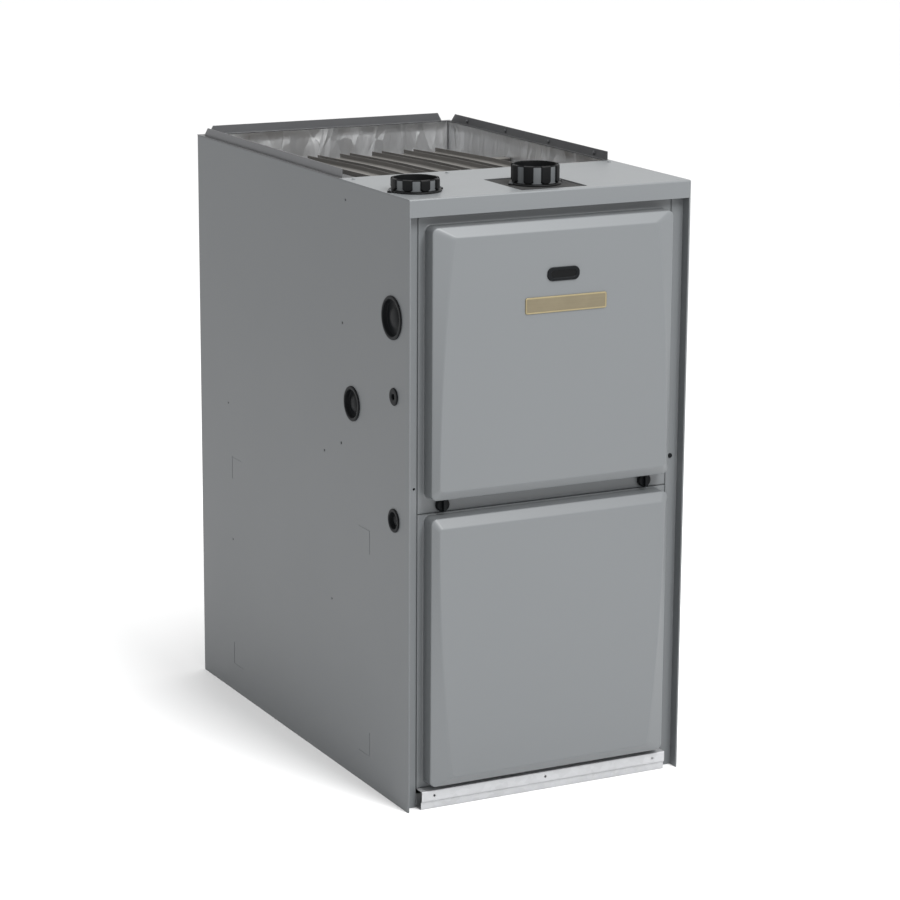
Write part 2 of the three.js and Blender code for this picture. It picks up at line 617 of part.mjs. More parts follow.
// One closed outline of a pressed panel at a given depth, counter-clockwise seen from the front.
function panelOutline({ y, low, high, halfWidth, corner }) {
  const points = [];
  const arc = (sideX, sideZ, startAngle) => {
    const z = sideZ > 0 ? high : low;
    const centreX = sideX * (halfWidth(z) - corner);
    const centreZ = z - sideZ * corner;
    for (let i = 0; i <= CORNER_STEPS; i += 1) {
      const angle = startAngle + (Math.PI / 2) * (i / CORNER_STEPS);
      points.push([centreX + corner * Math.cos(angle), y, centreZ + corner * Math.sin(angle)]);
    }
  };
  const upright = (sideX, from, to) => {
    for (let i = 1; i < SIDE_STEPS; i += 1) {
      const z = from + ((to - from) * i) / SIDE_STEPS;
      points.push([sideX * halfWidth(z), y, z]);
    }
  };
  arc(1, -1, -Math.PI / 2);
  upright(1, low + corner, high - corner);
  arc(1, 1, 0);
  arc(-1, 1, Math.PI / 2);
  upright(-1, high - corner, low + corner);
  arc(-1, -1, Math.PI);
  return points;
}

// A pressed sheet: outlines from the rear edge out to the face, then back along the inside.
function pressedSheet(outlines) {
  const count = outlines[0].length;
  const positions = outlines.flat(2);
  const middle = (outline) => {
    const sum = outline.reduce((total, p) => total.map((t, i) => t + p[i]), [0, 0, 0]);
    return sum.map((t) => t / outline.length);
  };
  const index = [];
  const faceRing = outlines.length / 2 - 1;
  for (let r = 0; r < outlines.length; r += 1) {
    if (r === faceRing) continue;
    const next = (r + 1) % outlines.length;
    for (let i = 0; i < count; i += 1) {
      const j = (i + 1) % count;
      const [a, b] = [r * count + i, r * count + j];
      const [c, d] = [next * count + i, next * count + j];
      index.push(a, b, d, a, d, c);
    }
  }
  const hub = positions.length / 3;
  positions.push(...middle(outlines[faceRing]), ...middle(outlines[faceRing + 1]));
  for (let i = 0; i < count; i += 1) {
    const j = (i + 1) % count;
    index.push(faceRing * count + i, faceRing * count + j, hub);
    index.push((faceRing + 1) * count + j, (faceRing + 1) * count + i, hub + 1);
  }
  const geometry = new THREE.BufferGeometry();
  geometry.setAttribute('position', new THREE.Float32BufferAttribute(positions, 3));
  geometry.setIndex(index);
  return solidOf(geometry);
}

// The face's side edges: narrow bevels next to the channel, wider ones away from it.
function faceHalfWidth(door, panelHalf) {
  const faceLow = door.low + door.lowFlange + BEVEL_WIDTH;
  const faceHigh = door.high - door.highFlange - BEVEL_WIDTH;
  const channelEnd = door.channelAtLow ? faceLow : faceHigh;
  return (z) => panelHalf - WAIST_INSET - WAIST_FALL * (z - channelEnd) ** 2;
}

function doorPressing(door) {
  const outer = { low: door.low, high: door.high, halfWidth: () => DOOR_HALF_WIDTH, corner: 1.5 };
  const panelHalf = DOOR_HALF_WIDTH - SIDE_FLANGE;
  const panel = {
    low: door.low + door.lowFlange,
    high: door.high - door.highFlange,
    halfWidth: () => panelHalf,
    corner: PANEL_CORNER,
  };
  const face = {
    low: panel.low + BEVEL_WIDTH,
    high: panel.high - BEVEL_WIDTH,
    halfWidth: faceHalfWidth(door, panelHalf),
    corner: FACE_CORNER,
  };
  const inset = (outline, by) => ({
    ...outline,
    low: outline.low + by,
    high: outline.high - by,
    halfWidth: (z) => outline.halfWidth(z) - by,
  });
  const shoulder = HEM_FACE - WALL_RISE;
  return pressedSheet([
    panelOutline({ ...outer, y: HEM_FACE + DOOR_RETURN }),
    panelOutline({ ...outer, y: HEM_FACE }),
    panelOutline({ ...panel, y: HEM_FACE }),
    panelOutline({ ...panel, y: shoulder }),
    panelOutline({ ...face, y: DOOR_FACE }),
    panelOutline({ ...inset(face, SKIN / 2), y: DOOR_FACE + SKIN }),
    panelOutline({ ...inset(panel, SKIN), y: shoulder + SKIN / 2 }),
    panelOutline({ ...inset(panel, SKIN), y: HEM_FACE + SKIN }),
    panelOutline({ ...inset(outer, SKIN), y: HEM_FACE + SKIN }),
    panelOutline({ ...inset(outer, SKIN), y: HEM_FACE + DOOR_RETURN }),
  ]);
}

function upperDoor() {
  const knobHoles = SIDES.map((side) => rod('y', KNOB_SHAFT + CLEAR,
    [HEM_FACE - 1, HEM_FACE + SKIN + 1], [side * KNOB_SPREAD, KNOB_HEIGHT]));
  return cut(doorPressing(UPPER_DOOR), ...knobHoles,
    slab('xz', windowOutline(0), [DOOR_FACE - 1, DOOR_FACE + SKIN + 1]));
}

const windowOutline = (grow) => roundedRectangle(
  [WINDOW_OFFSET - WINDOW_WIDTH / 2 - grow, WINDOW_OFFSET + WINDOW_WIDTH / 2 + grow],
  [WINDOW_HEIGHT_Z - WINDOW_HEIGHT / 2 - grow, WINDOW_HEIGHT_Z + WINDOW_HEIGHT / 2 + grow],
  WINDOW_HEIGHT / 2 + grow - 0.01,
);

function sightWindow() {
  return join(
    slab('xz', windowOutline(WINDOW_RIM), [DOOR_FACE - CLEAR - 2, DOOR_FACE - CLEAR]),
    slab('xz', windowOutline(-CLEAR), [DOOR_FACE - CLEAR - 1, DOOR_FACE + SKIN + 4]),
  );
}

// Quarter-turn knob with a grip across it and a shaft into the cross rail.
function latchKnob(side) {
  const base = HEM_FACE - CLEAR;
  const face = base - KNOB_THICKNESS;
  const centre = [side * KNOB_SPREAD, KNOB_HEIGHT];
  return join(
    turned('y', [
      [0, base], [KNOB_RADIUS, base], [KNOB_RADIUS, face + 1.5], [KNOB_RADIUS - 1.5, face], [0, face],
    ], centre, 24),
    block(
      [centre[0] - KNOB_GRIP_WIDTH / 2, centre[0] + KNOB_GRIP_WIDTH / 2],
      [face - KNOB_GRIP_RISE, face + 1],
      [KNOB_HEIGHT - KNOB_RADIUS + 1.5, KNOB_HEIGHT + KNOB_RADIUS - 1.5],
    ),
    rod('y', KNOB_SHAFT, [base - 1, base + KNOB_SHAFT_REACH], centre, 16),
  );
}

// ---------------------------------------------------------------- vents in the top
function lobedOutline() {
  const points = [];
  const pitch = (2 * Math.PI) / VENT_LOBES;
  for (let i = 0; i < VENT_LOBES; i += 1) {
    const start = i * pitch;
    points.push([VENT_SLEEVE, start], [VENT_SLEEVE, start + 0.14 * pitch]);
    for (const share of [0.2, 0.45, 0.7, 0.94]) points.push([VENT_LOBE, start + share * pitch]);
  }
  const shape = polygon(points.map(([r, angle]) => [r * Math.cos(angle), r * Math.sin(angle)]));
  return shape;
}

function ventCoupling(x, seat, rise) {
  const top = TOP + rise;
  const lobes = slab('xy', lobedOutline(), [seat, top]).translate(x, VENT_Y, 0);
  const body = join(
    lobes,
    rod('z', VENT_FLANGE, [seat, seat + 2.5], [x, VENT_Y], 24),
    ...SIDES.map((side) => rod('z', 4.5, [seat, seat + 2.5], [x + side * (VENT_FLANGE + 1), VENT_Y], 12)),
    rod('z', VENT_SLEEVE, [TOP - VENT_STEM, seat + 1], [x, VENT_Y], 24),
  );
  return cut(body, rod('z', VENT_BORE, [TOP - VENT_STEM - 1, top + 1], [x, VENT_Y], 24));
}

const GASKET_TOP = TOP - SKIN - CLEAR;

function ventGasketPlate() {
  const halfX = CUTOUT_WIDTH / 2 + GASKET_LAP;
  const halfY = CUTOUT_DEPTH / 2 + GASKET_LAP;
  const plate = block([INTAKE_X - halfX, INTAKE_X + halfX], [VENT_Y - halfY, VENT_Y + halfY],
    [GASKET_TOP - GASKET_THICKNESS, GASKET_TOP]);
  return cut(plate, rod('z', VENT_SLEEVE + CLEAR, [GASKET_TOP - GASKET_THICKNESS - 1, GASKET_TOP + 1],
    [INTAKE_X, VENT_Y], 24));
}

// Exhaust pipe from the inducer's outlet, stepping forward to the coupling.
function fluePipe() {
  const radius = VENT_BORE - CLEAR;
  const low = INDUCER_OUTLET_TOP + CLEAR;
  const high = TOP - VENT_STEM / 2;
  const at = (y, z) => new THREE.Vector3(EXHAUST_X, y, z);
  const bendLow = low + FLUE_STRAIGHT / 2;
  const bendHigh = high - FLUE_STRAIGHT;
  const middle = (bendLow + bendHigh) / 2;
  const path = new THREE.CurvePath();
  path.add(new THREE.LineCurve3(at(INDUCER_Y, low), at(INDUCER_Y, bendLow)));
  path.add(new THREE.CubicBezierCurve3(at(INDUCER_Y, bendLow), at(INDUCER_Y, middle),
    at(VENT_Y, middle), at(VENT_Y, bendHigh)));
  path.add(new THREE.LineCurve3(at(VENT_Y, bendHigh), at(VENT_Y, high)));
  return tube(path, radius, 14, 12, radius - PIPE_WALL);
}

function intakePipe() {
  const radius = VENT_BORE - CLEAR;
  return ring('z', radius - PIPE_WALL, radius, [BOX_HIGH + CLEAR, TOP - VENT_STEM / 2],
    [INTAKE_X, VENT_Y]);
}

// ---------------------------------------------------------------- heat exchanger
// The strip swept by a centre line, as an outline.
function ribbon(centreLine, half) {
  const left = [];
  const right = [];
  centreLine.forEach(([u, v], i) => {
    const [pu, pv] = centreLine[Math.max(i - 1, 0)];
    const [nu, nv] = centreLine[Math.min(i + 1, centreLine.length - 1)];
    const length = Math.hypot(nu - pu, nv - pv);
    const [du, dv] = [(nu - pu) / length, (nv - pv) / length];
    left.push([u - dv * half, v + du * half]);
    right.push([u + dv * half, v - du * half]);
  });
  return polygon([...left, ...right.reverse()]);
}

function cellCentreLine(extra) {
  const turnSteps = 8;
  const halfTurn = (y, z, towardRear) => Array.from({ length: turnSteps + 1 }, (_, i) => {
    const angle = Math.PI / 2 - (Math.PI * i) / turnSteps;
    const reach = CELL_TURN * Math.cos(angle) * (towardRear ? 1 : -1);
    return [y + reach, z + CELL_TURN * Math.sin(angle)];
  });
  const rearTurn = CELL_REAR - CELL_TURN - CELL_HALF_HEIGHT;
  const frontTurn = CELL_FRONT + CELL_TURN + CELL_HALF_HEIGHT + CELL_FRONT_GAP;
  return [
    [CELL_FRONT - extra, FIRE_HEIGHT],
    [CELL_FRONT + CELL_TURN, FIRE_HEIGHT],
    ...halfTurn(rearTurn, PASS_2 + CELL_TURN, true),
    ...halfTurn(frontTurn, PASS_3 + CELL_TURN, false),
    [CELL_REAR + extra, PASS_3],
  ];
}

function exchangerCell(x) {
  const half = CELL_THICKNESS / 2;
  const inner = half - CELL_WALL;
  return cut(
    slab('yz', ribbon(cellCentreLine(0), CELL_HALF_HEIGHT), [x - half, x + half]),
    slab('yz', ribbon(cellCentreLine(2), CELL_HALF_HEIGHT - CELL_WALL), [x - inner, x + inner]),
  );
}

// Finned coil: upright plates across the air's way, on tube banks that run front to rear.
function secondaryCoil() {
  const pitch = (CELL_REAR - CELL_FRONT - FIN_THICKNESS) / (FIN_COUNT - 1);
  const plates = Array.from({ length: FIN_COUNT }, (_, i) => {
    const front = CELL_FRONT + i * pitch;
    return block([-COIL_HALF_WIDTH, COIL_HALF_WIDTH], [front, front + FIN_THICKNESS], [COIL_BOTTOM, COIL_TOP]);
  });
  const barPitch = (2 * COIL_HALF_WIDTH) / COIL_BAR_COUNT;
  const middle = (COIL_BOTTOM + COIL_TOP) / 2;
  const bars = Array.from({ length: COIL_BAR_COUNT }, (_, i) => {
    const x = (i + 0.5) * barPitch - COIL_HALF_WIDTH;
    return block([x - COIL_BAR / 2, x + COIL_BAR / 2],
      [CELL_FRONT + FIN_THICKNESS / 2, CELL_REAR - FIN_THICKNESS / 2],
      [middle - COIL_BAR / 2, middle + COIL_BAR / 2]);
  });
  return join(...plates, ...bars);
}

// A tray open to the front, over the cells' outlets and the coil's rear end.
function rearHeader() {
  const front = CELL_REAR + CLEAR;
  const half = COIL_HALF_WIDTH - HEADER_MARGIN;
  const low = COIL_BOTTOM;
  const high = PASS_3 + CELL_HALF_HEIGHT + HEADER_MARGIN;
  return cut(
    block([-half, half], [front, front + HEADER_DEPTH], [low, high]),
    block([SKIN - half, half - SKIN], [front - 1, front + HEADER_DEPTH - SKIN], [low + SKIN, high - SKIN]),
  );
}

// ---------------------------------------------------------------- burners and gas train
function burnerBox() {
  const outer = [[BOX_LEFT, BOX_RIGHT], [BOX_LOW, BOX_HIGH]];
  const sleeve = cut(
    block(outer[0], [BOX_FRONT, BOX_REAR], outer[1]),
    block([BOX_LEFT + SKIN, BOX_RIGHT - SKIN], [BOX_FRONT - 1, BOX_REAR + 1], [BOX_LOW + SKIN, BOX_HIGH - SKIN]),
  );
  const probeHoles = [BURNER_XS[0], BURNER_XS[CELL_COUNT - 1]].map((x) => rod('z', PROBE_RADIUS + CLEAR,
    [BOX_LOW - 1, BOX_LOW + SKIN + 1], [x, PANEL_FRONT - PROBE_SETBACK]));
  const manifoldHole = block([BOX_RIGHT - 2 * SKIN, BOX_RIGHT + 1],
    [MANIFOLD_Y - MANIFOLD_SIZE / 2 - CLEAR, MANIFOLD_Y + MANIFOLD_SIZE / 2 + CLEAR],
    [FIRE_HEIGHT - MANIFOLD_SIZE / 2 - CLEAR, FIRE_HEIGHT + MANIFOLD_SIZE / 2 + CLEAR]);
  const airHole = rod('z', VENT_BORE - PIPE_WALL, [BOX_HIGH - 2 * SKIN, BOX_HIGH + 1], [INTAKE_X, VENT_Y]);
  return cut(sleeve, ...probeHoles, manifoldHole, airHole);
}

const COVER_REAR = BOX_FRONT - CLEAR;
const COVER_FRONT = COVER_REAR - SKIN;
const RESET_X = BOX_RIGHT - BOX_SIDE_MARGIN;
const RESET_Z = BOX_HIGH - 2 * SWITCH_RADIUS;

function burnerBoxCover() {
  return cut(
    block([BOX_LEFT, BOX_RIGHT], [COVER_FRONT, COVER_REAR], [BOX_LOW, BOX_HIGH]),
    rod('y', SWITCH_RADIUS, [COVER_FRONT - 1, COVER_REAR + 1],
      [WINDOW_OFFSET, WINDOW_HEIGHT_Z]),
  );
}

function burner(x) {
  const flare = BURNER_REAR - 32;
  const wall = BURNER_RADIUS - BURNER_BORE;
  return turned('y', [
    [BURNER_BORE, BURNER_FRONT],
    [BURNER_MOUTH, BURNER_FRONT],
    [BURNER_RADIUS, BURNER_FRONT + 18],
    [BURNER_RADIUS, flare],
    [BURNER_MOUTH, BURNER_REAR - 6],
    [BURNER_FLANGE, BURNER_REAR - 3],
    [BURNER_FLANGE, BURNER_REAR],
    [BURNER_MOUTH - wall, BURNER_REAR],
    [BURNER_BORE, flare],
    [BURNER_BORE, BURNER_FRONT],
  ], [x, FIRE_HEIGHT], 18);
}

const VALVE_LEFT = BOX_RIGHT + 8;
const VALVE_FRONT = MANIFOLD_Y - VALVE_DEPTH / 2;
const VALVE_REAR = MANIFOLD_Y + VALVE_DEPTH / 2;
const VALVE_LOW = FIRE_HEIGHT - VALVE_HEIGHT / 2;
const VALVE_HIGH = FIRE_HEIGHT + VALVE_HEIGHT / 2;

function gasManifold() {
  const half = MANIFOLD_SIZE / 2;
  return join(
    block([BOX_LEFT + 8, VALVE_LEFT - CLEAR], [MANIFOLD_Y - half, MANIFOLD_Y + half],
      [FIRE_HEIGHT - half, FIRE_HEIGHT + half]),
    ...BURNER_XS.map((x) => rod('y', ORIFICE_RADIUS,
      [MANIFOLD_Y + half - 1, MANIFOLD_Y + half + ORIFICE_REACH], [x, FIRE_HEIGHT], 12)),
  );
}

function gasValve() {
  const right = VALVE_LEFT + VALVE_WIDTH;
  const body = join(
    slab('xz', roundedRectangle([VALVE_LEFT, right], [VALVE_LOW, VALVE_HIGH], 6),
      [VALVE_FRONT, VALVE_REAR], 3),
    rod('z', 16, [VALVE_LOW - 14, VALVE_LOW + 1], [(VALVE_LEFT + right) / 2, MANIFOLD_Y], 6),
    rod('z', 12, [VALVE_HIGH - 1, VALVE_HIGH + 10], [VALVE_LEFT + 18, MANIFOLD_Y + 8], 16),
    rod('z', 8, [VALVE_HIGH - 1, VALVE_HIGH + 6], [right - 14, MANIFOLD_Y - 12], 16),
  );
  const gasWay = rod('z', 9, [VALVE_LOW - 15, VALVE_LOW + 30], [(VALVE_LEFT + right) / 2, MANIFOLD_Y], 16);
  const stemHole = rod('y', 3 + CLEAR, [VALVE_FRONT - 1, VALVE_FRONT + 12], valveKnobCentre(), 12);
  return cut(body, gasWay, stemHole);
}

const valveKnobCentre = () => [VALVE_LEFT + VALVE_WIDTH / 2, FIRE_HEIGHT + 12];

function gasValveKnob() {
  const base = VALVE_FRONT - CLEAR;
  const face = base - VALVE_KNOB_RISE;
  const [x, z] = valveKnobCentre();
  return join(
    rod('y', VALVE_KNOB_RADIUS, [base, base - 4], [x, z], 20),
    block([x - 3.5, x + 3.5], [face, base - 3], [z - VALVE_KNOB_RADIUS + 1, z + VALVE_KNOB_RADIUS - 1]),
    rod('y', 3, [base - 1, base + 9], [x, z], 12),
  );
}

// Ceramic body through the floor of the burner box, with a blade or rod in the flame's path.
function probe(x, tip) {
  const y = PANEL_FRONT - PROBE_SETBACK;
  const flameLow = FIRE_HEIGHT - BURNER_FLANGE - 2;
  return join(
    rod('z', PROBE_RADIUS, [BOX_LOW - 16, BOX_LOW + 12], [x, y], 14),
    rod('z', PROBE_RADIUS + 4, [BOX_LOW - CLEAR - 3, BOX_LOW - CLEAR], [x, y], 14),
    block([x - tip.width / 2, x + tip.width / 2], [y - tip.depth / 2, y + tip.depth / 2],
      [BOX_LOW + 11, flameLow]),
  );
}

function rolloutSwitch() {
  const rear = COVER_FRONT - CLEAR;
  const centre = [RESET_X, RESET_Z];
  const body = join(
    rod('y', SWITCH_RADIUS, [rear, rear - SWITCH_DEPTH], centre, 20),
    block([RESET_X - SWITCH_RADIUS - 8, RESET_X + SWITCH_RADIUS + 8], [rear - 1, rear],
      [RESET_Z - 6, RESET_Z + 6]),
  );
  return cut(body, rod('y', RESET_RADIUS + CLEAR, [rear - SWITCH_DEPTH - 1, rear - 1.5], centre, 14));
}

// The button stands out of the switch and pushes in by its travel.
function resetButton() {
  const face = COVER_FRONT - CLEAR - SWITCH_DEPTH;
  const rear = COVER_FRONT - CLEAR - 1.5 - CLEAR;
  return rod('y', RESET_RADIUS, [face - RESET_RISE, rear - RESET_TRAVEL], [RESET_X, RESET_Z], 14);
}

// ---------------------------------------------------------------- draught inducer
function collectorBox() {
  const xs = [INDUCER_X - COLLECTOR_WIDTH / 2, INDUCER_X + COLLECTOR_WIDTH / 2];
  const low = DECK_TOP + CLEAR;
  const high = BOX_LOW - COLLECTOR_DROP;
  const wall = INDUCER_WALL;
  return cut(
    slab('xz', roundedRectangle(xs, [low, high], 14), [COLLECTOR_FRONT, COLLECTOR_REAR], 4),
    slab('xz', roundedRectangle([xs[0] + wall, xs[1] - wall], [low + wall, high - wall], 12),
      [COLLECTOR_FRONT + wall, COLLECTOR_REAR + 1], 4),
    rod('y', INDUCER_WHEEL_RADIUS * 0.5, [COLLECTOR_FRONT - 1, COLLECTOR_REAR], [INDUCER_X, INDUCER_HEIGHT], 20),
  );
}

// Spiral of a fan casing, opening clockwise or counter-clockwise into an upright outlet.
function scrollOutline({ centreU, centreV, start, spread, outletSide, outletWidth, top, inset }) {
  const steps = 20;
  const points = [];
  for (let i = 0; i <= steps; i += 1) {
    const share = i / steps;
    const angle = Math.PI * (0.3 - 1.3 * share);
    const radius = start + spread * share - inset;
    points.push([centreU - outletSide * radius * Math.cos(angle), centreV + radius * Math.sin(angle)]);
  }
  const outer = centreU + outletSide * (start + spread - inset);
  const innerEdge = centreU + outletSide * (start + spread - outletWidth + inset);
  points.push([outer, top], [innerEdge, top]);
  return polygon(points);
}

const inducerScroll = (inset, top) => scrollOutline({
  centreU: INDUCER_X,
  centreV: INDUCER_HEIGHT,
  start: INDUCER_START,
  spread: INDUCER_OFFSET + VENT_BORE - INDUCER_START,
  outletSide: -1,
  outletWidth: 2 * VENT_BORE,
  top,
  inset,
});

function inducerHousing() {
  return cut(
    slab('xz', inducerScroll(0, INDUCER_OUTLET_TOP), [INDUCER_FRONT, INDUCER_REAR]),
    slab('xz', inducerScroll(INDUCER_WALL, INDUCER_OUTLET_TOP + 1),
      [INDUCER_FRONT + INDUCER_WALL, INDUCER_REAR - INDUCER_WALL]),
    rod('y', INDUCER_WHEEL_RADIUS * 0.5, [INDUCER_REAR - INDUCER_WALL - 1, INDUCER_REAR + 1],
      [INDUCER_X, INDUCER_HEIGHT], 20),
    rod('y', SHAFT_RADIUS + 1, [INDUCER_FRONT - 1, INDUCER_FRONT + INDUCER_WALL + 1],
      [INDUCER_X, INDUCER_HEIGHT], 12),
  );
}

function inducerWheel() {
  const front = INDUCER_Y - INDUCER_WHEEL_DEPTH / 2;
  const rear = INDUCER_Y + INDUCER_WHEEL_DEPTH / 2;
  const centre = [INDUCER_X, INDUCER_HEIGHT];
  const blades = Array.from({ length: INDUCER_BLADES }, (_, i) => {
    const blade = new THREE.BoxGeometry(26, INDUCER_WHEEL_DEPTH - 1, 2);
    blade.translate(INDUCER_WHEEL_RADIUS - 14, 0, 0);
    blade.rotateY((2 * Math.PI * i) / INDUCER_BLADES);
    return solidOf(blade.translate(INDUCER_X, INDUCER_Y, INDUCER_HEIGHT));
  });
  return join(
    rod('y', INDUCER_WHEEL_RADIUS, [front, front + 1.5], centre, 24),
    rod('y', 10, [front, rear - 4], centre, 16),
    rod('y', SHAFT_RADIUS, [INDUCER_FRONT - 10, front + 1], centre, 12),
    ...blades,
  );
}

function inducerMotor() {
  const rear = INDUCER_FRONT - CLEAR;
  const front = rear - INDUCER_MOTOR_LENGTH;
  const r = INDUCER_MOTOR_RADIUS;
  return turned('y', [
    [SHAFT_RADIUS + CLEAR, rear], [r - 8, rear], [r - 8, rear - 8], [r, rear - 12], [r, front + 14],
    [r - 6, front + 6], [14, front], [0, front], [0, rear - 18], [SHAFT_RADIUS + CLEAR, rear - 18],
    [SHAFT_RADIUS + CLEAR, rear],
  ], [INDUCER_X, INDUCER_HEIGHT], 24);
}

const PRESSURE_X = RIGHT - PRESSURE_WALL_GAP;
const PRESSURE_Z = INDUCER_HEIGHT + PRESSURE_LIFT;

function pressureSwitch() {
  const rear = PANEL_FRONT - CLEAR;
  return join(
    rod('y', PRESSURE_RADIUS, [rear, rear - PRESSURE_DEPTH], [PRESSURE_X, PRESSURE_Z], 24),
    rod('y', PRESSURE_RADIUS - 9, [rear - PRESSURE_DEPTH - 5, rear - PRESSURE_DEPTH + 1],
      [PRESSURE_X, PRESSURE_Z], 20),
    rod('y', HOSE_RADIUS, [rear - PRESSURE_DEPTH - PRESSURE_SPOUT, rear - PRESSURE_DEPTH],
      [PRESSURE_X, PRESSURE_Z], 10),
  );
}

// Small hose from the pressure switch's spout to the collector box.
function pressureHose() {
  const spout = PANEL_FRONT - CLEAR - PRESSURE_DEPTH - PRESSURE_SPOUT - CLEAR;
  const side = INDUCER_X + COLLECTOR_WIDTH / 2 + CLEAR;
  const y = (COLLECTOR_FRONT + COLLECTOR_REAR) / 2;
  const low = DECK_TOP + TRAP_HEIGHT + HOSE_LIFT;
  const path = smoothPath([
    [PRESSURE_X, spout, PRESSURE_Z],
    [PRESSURE_X, spout - HOSE_BEND, PRESSURE_Z],
    [PRESSURE_X - HOSE_BEND / 2, spout - 1.7 * HOSE_BEND, PRESSURE_Z - 1.3 * HOSE_BEND],
    [PRESSURE_X - 2.4 * HOSE_BEND, spout - 1.2 * HOSE_BEND, low + HOSE_BEND / 3],
    [side + 3.3 * HOSE_BEND, spout + HOSE_BEND / 3, low - HOSE_BEND / 2],
    [side + 1.2 * HOSE_BEND, y, low],
    [side, y, low],
  ]);
  return tube(path, HOSE_RADIUS, 8, 20);
}

function condensateTrap() {
  const left = INDUCER_X + COLLECTOR_WIDTH / 2 + CLEAR;
  const rear = PANEL_FRONT - CLEAR;
  const low = DECK_TOP + CLEAR;
  return join(
    slab('xy', roundedRectangle([left, left + TRAP_WIDTH], [rear - TRAP_DEPTH, rear], 8),
      [low, low + TRAP_HEIGHT], 3),
    rod('x', 9, [left + TRAP_WIDTH - 1, left + TRAP_WIDTH + 22], [rear - TRAP_DEPTH / 2, low + 24], 16),
    rod('z', 7, [low + TRAP_HEIGHT - 1, low + TRAP_HEIGHT + 14], [left + TRAP_WIDTH / 2, rear - TRAP_DEPTH / 2], 14),
  );
}

// ---------------------------------------------------------------- blower
function blowerOutlet() {
  const front = BLOWER_SHAFT_Y - BLOWER_START - BLOWER_SPREAD;
  return { front, rear: front + 1.02 * BLOWER_START, half: BLOWER_WIDTH / 2 };
}

const blowerScroll = (inset, top) => scrollOutline({
  centreU: BLOWER_SHAFT_Y,
  centreV: BLOWER_SHAFT_HEIGHT,
  start: BLOWER_START,
  spread: BLOWER_SPREAD,
  outletSide: -1,
  outletWidth: 1.02 * BLOWER_START,
  top,
  inset,
});

function blowerHousing() {
  const half = BLOWER_WIDTH / 2;
  const top = DECK_HEIGHT - CLEAR;
  const centre = [BLOWER_SHAFT_Y, BLOWER_SHAFT_HEIGHT];
  return cut(
    slab('yz', blowerScroll(0, top), [-half, half]),
    slab('yz', blowerScroll(SKIN, top + 1), [SKIN - half, half - SKIN]),
    rod('x', BLOWER_INLET, [-half - 1, half + 1], centre, 32),
  );
}

function blowerWheel() {
  const half = WHEEL_WIDTH / 2;
  const centre = [BLOWER_SHAFT_Y, BLOWER_SHAFT_HEIGHT];
  const inner = WHEEL_RADIUS - BLADE_DEPTH;
  const bore = MOTOR_SHAFT + CLEAR;
  const blades = Array.from({ length: WHEEL_BLADES }, (_, i) => {
    const blade = new THREE.BoxGeometry(WHEEL_WIDTH - 2, BLADE_DEPTH - 3, BLADE_THICKNESS);
    blade.rotateX(0.35);
    blade.translate(0, WHEEL_RADIUS - BLADE_DEPTH / 2, 0);
    blade.rotateX((2 * Math.PI * i) / WHEEL_BLADES);
    return solidOf(blade.translate(0, ...centre));
  });
  return join(
    ring('x', inner, WHEEL_RADIUS, [-half, -half + 4], centre, WHEEL_BLADES),
    ring('x', inner, WHEEL_RADIUS, [half - 4, half], centre, WHEEL_BLADES),
    ring('x', bore, WHEEL_RADIUS - 2, [HUB_OFFSET, HUB_OFFSET + 2], centre, WHEEL_BLADES),
    ring('x', bore, HUB_RADIUS, [HUB_OFFSET - HUB_LENGTH / 2, HUB_OFFSET + HUB_LENGTH / 2], centre),
    ...blades,
  );
}

// Motor in the wheel's left mouth. Its shaft runs in the wheel's hub.
function blowerMotor() {
  const right = HUB_OFFSET - HUB_LENGTH / 2 - 17;
  const shaftEnd = HUB_OFFSET + HUB_LENGTH / 2 + 12;
  const left = right - MOTOR_LENGTH;
  const r = MOTOR_RADIUS;
  return turned('x', [
    [0, left], [24, left], [r - 12, left + 8], [r, left + 20], [r, right - 20], [r - 12, right - 6],
    [20, right], [MOTOR_SHAFT, right + 2], [MOTOR_SHAFT, shaftEnd], [0, shaftEnd],
  ], [BLOWER_SHAFT_Y, BLOWER_SHAFT_HEIGHT], 24);
}

// Band round the motor with three arms to the rim of the inlet.
function motorMount() {
  const side = -BLOWER_WIDTH / 2 - CLEAR;
  const centre = [BLOWER_SHAFT_Y, BLOWER_SHAFT_HEIGHT];
  const inner = MOTOR_RADIUS + CLEAR;
  const bandLeft = side - ARM_THICKNESS;
  const band = ring('x', inner, inner + BAND_THICKNESS, [bandLeft, bandLeft + BAND_WIDTH], centre, 24);
  const arms = [0.5, 1.17, 1.83].map((turn) => {
    const length = BLOWER_INLET + 14 - inner - 1;
    const arm = new THREE.BoxGeometry(ARM_THICKNESS, length, ARM_WIDTH);
    arm.translate(bandLeft + ARM_THICKNESS / 2, inner + 1 + length / 2, 0);
    arm.rotateX(turn * Math.PI);
    return solidOf(arm.translate(0, ...centre));
  });
  return join(band, ...arms);
}

// ---------------------------------------------------------------- controls
function controlTray() {
  const top = DECK_HEIGHT - CLEAR;
  const low = top - TRAY_HEIGHT;
  const inner = TRAY_Y + SKIN;
  const [topRear, lowRear] = [TRAY_Y + TRAY_TOP_FLANGE, TRAY_Y + TRAY_LOW_FLANGE];
  return slab('yz', polygon([
    [TRAY_Y, low], [TRAY_Y, top], [topRear, top], [topRear, top - SKIN], [inner, top - SKIN],
    [inner, low + SKIN], [lowRear, low + SKIN], [lowRear, low],
  ]), [-TRAY_HALF_WIDTH, TRAY_HALF_WIDTH]);
}

const BOARD_LEFT = BOARD_INSET - TRAY_HALF_WIDTH;
const BOARD_TOP = DECK_HEIGHT - BOARD_DROP;
const BOARD_REAR = TRAY_Y - CLEAR;

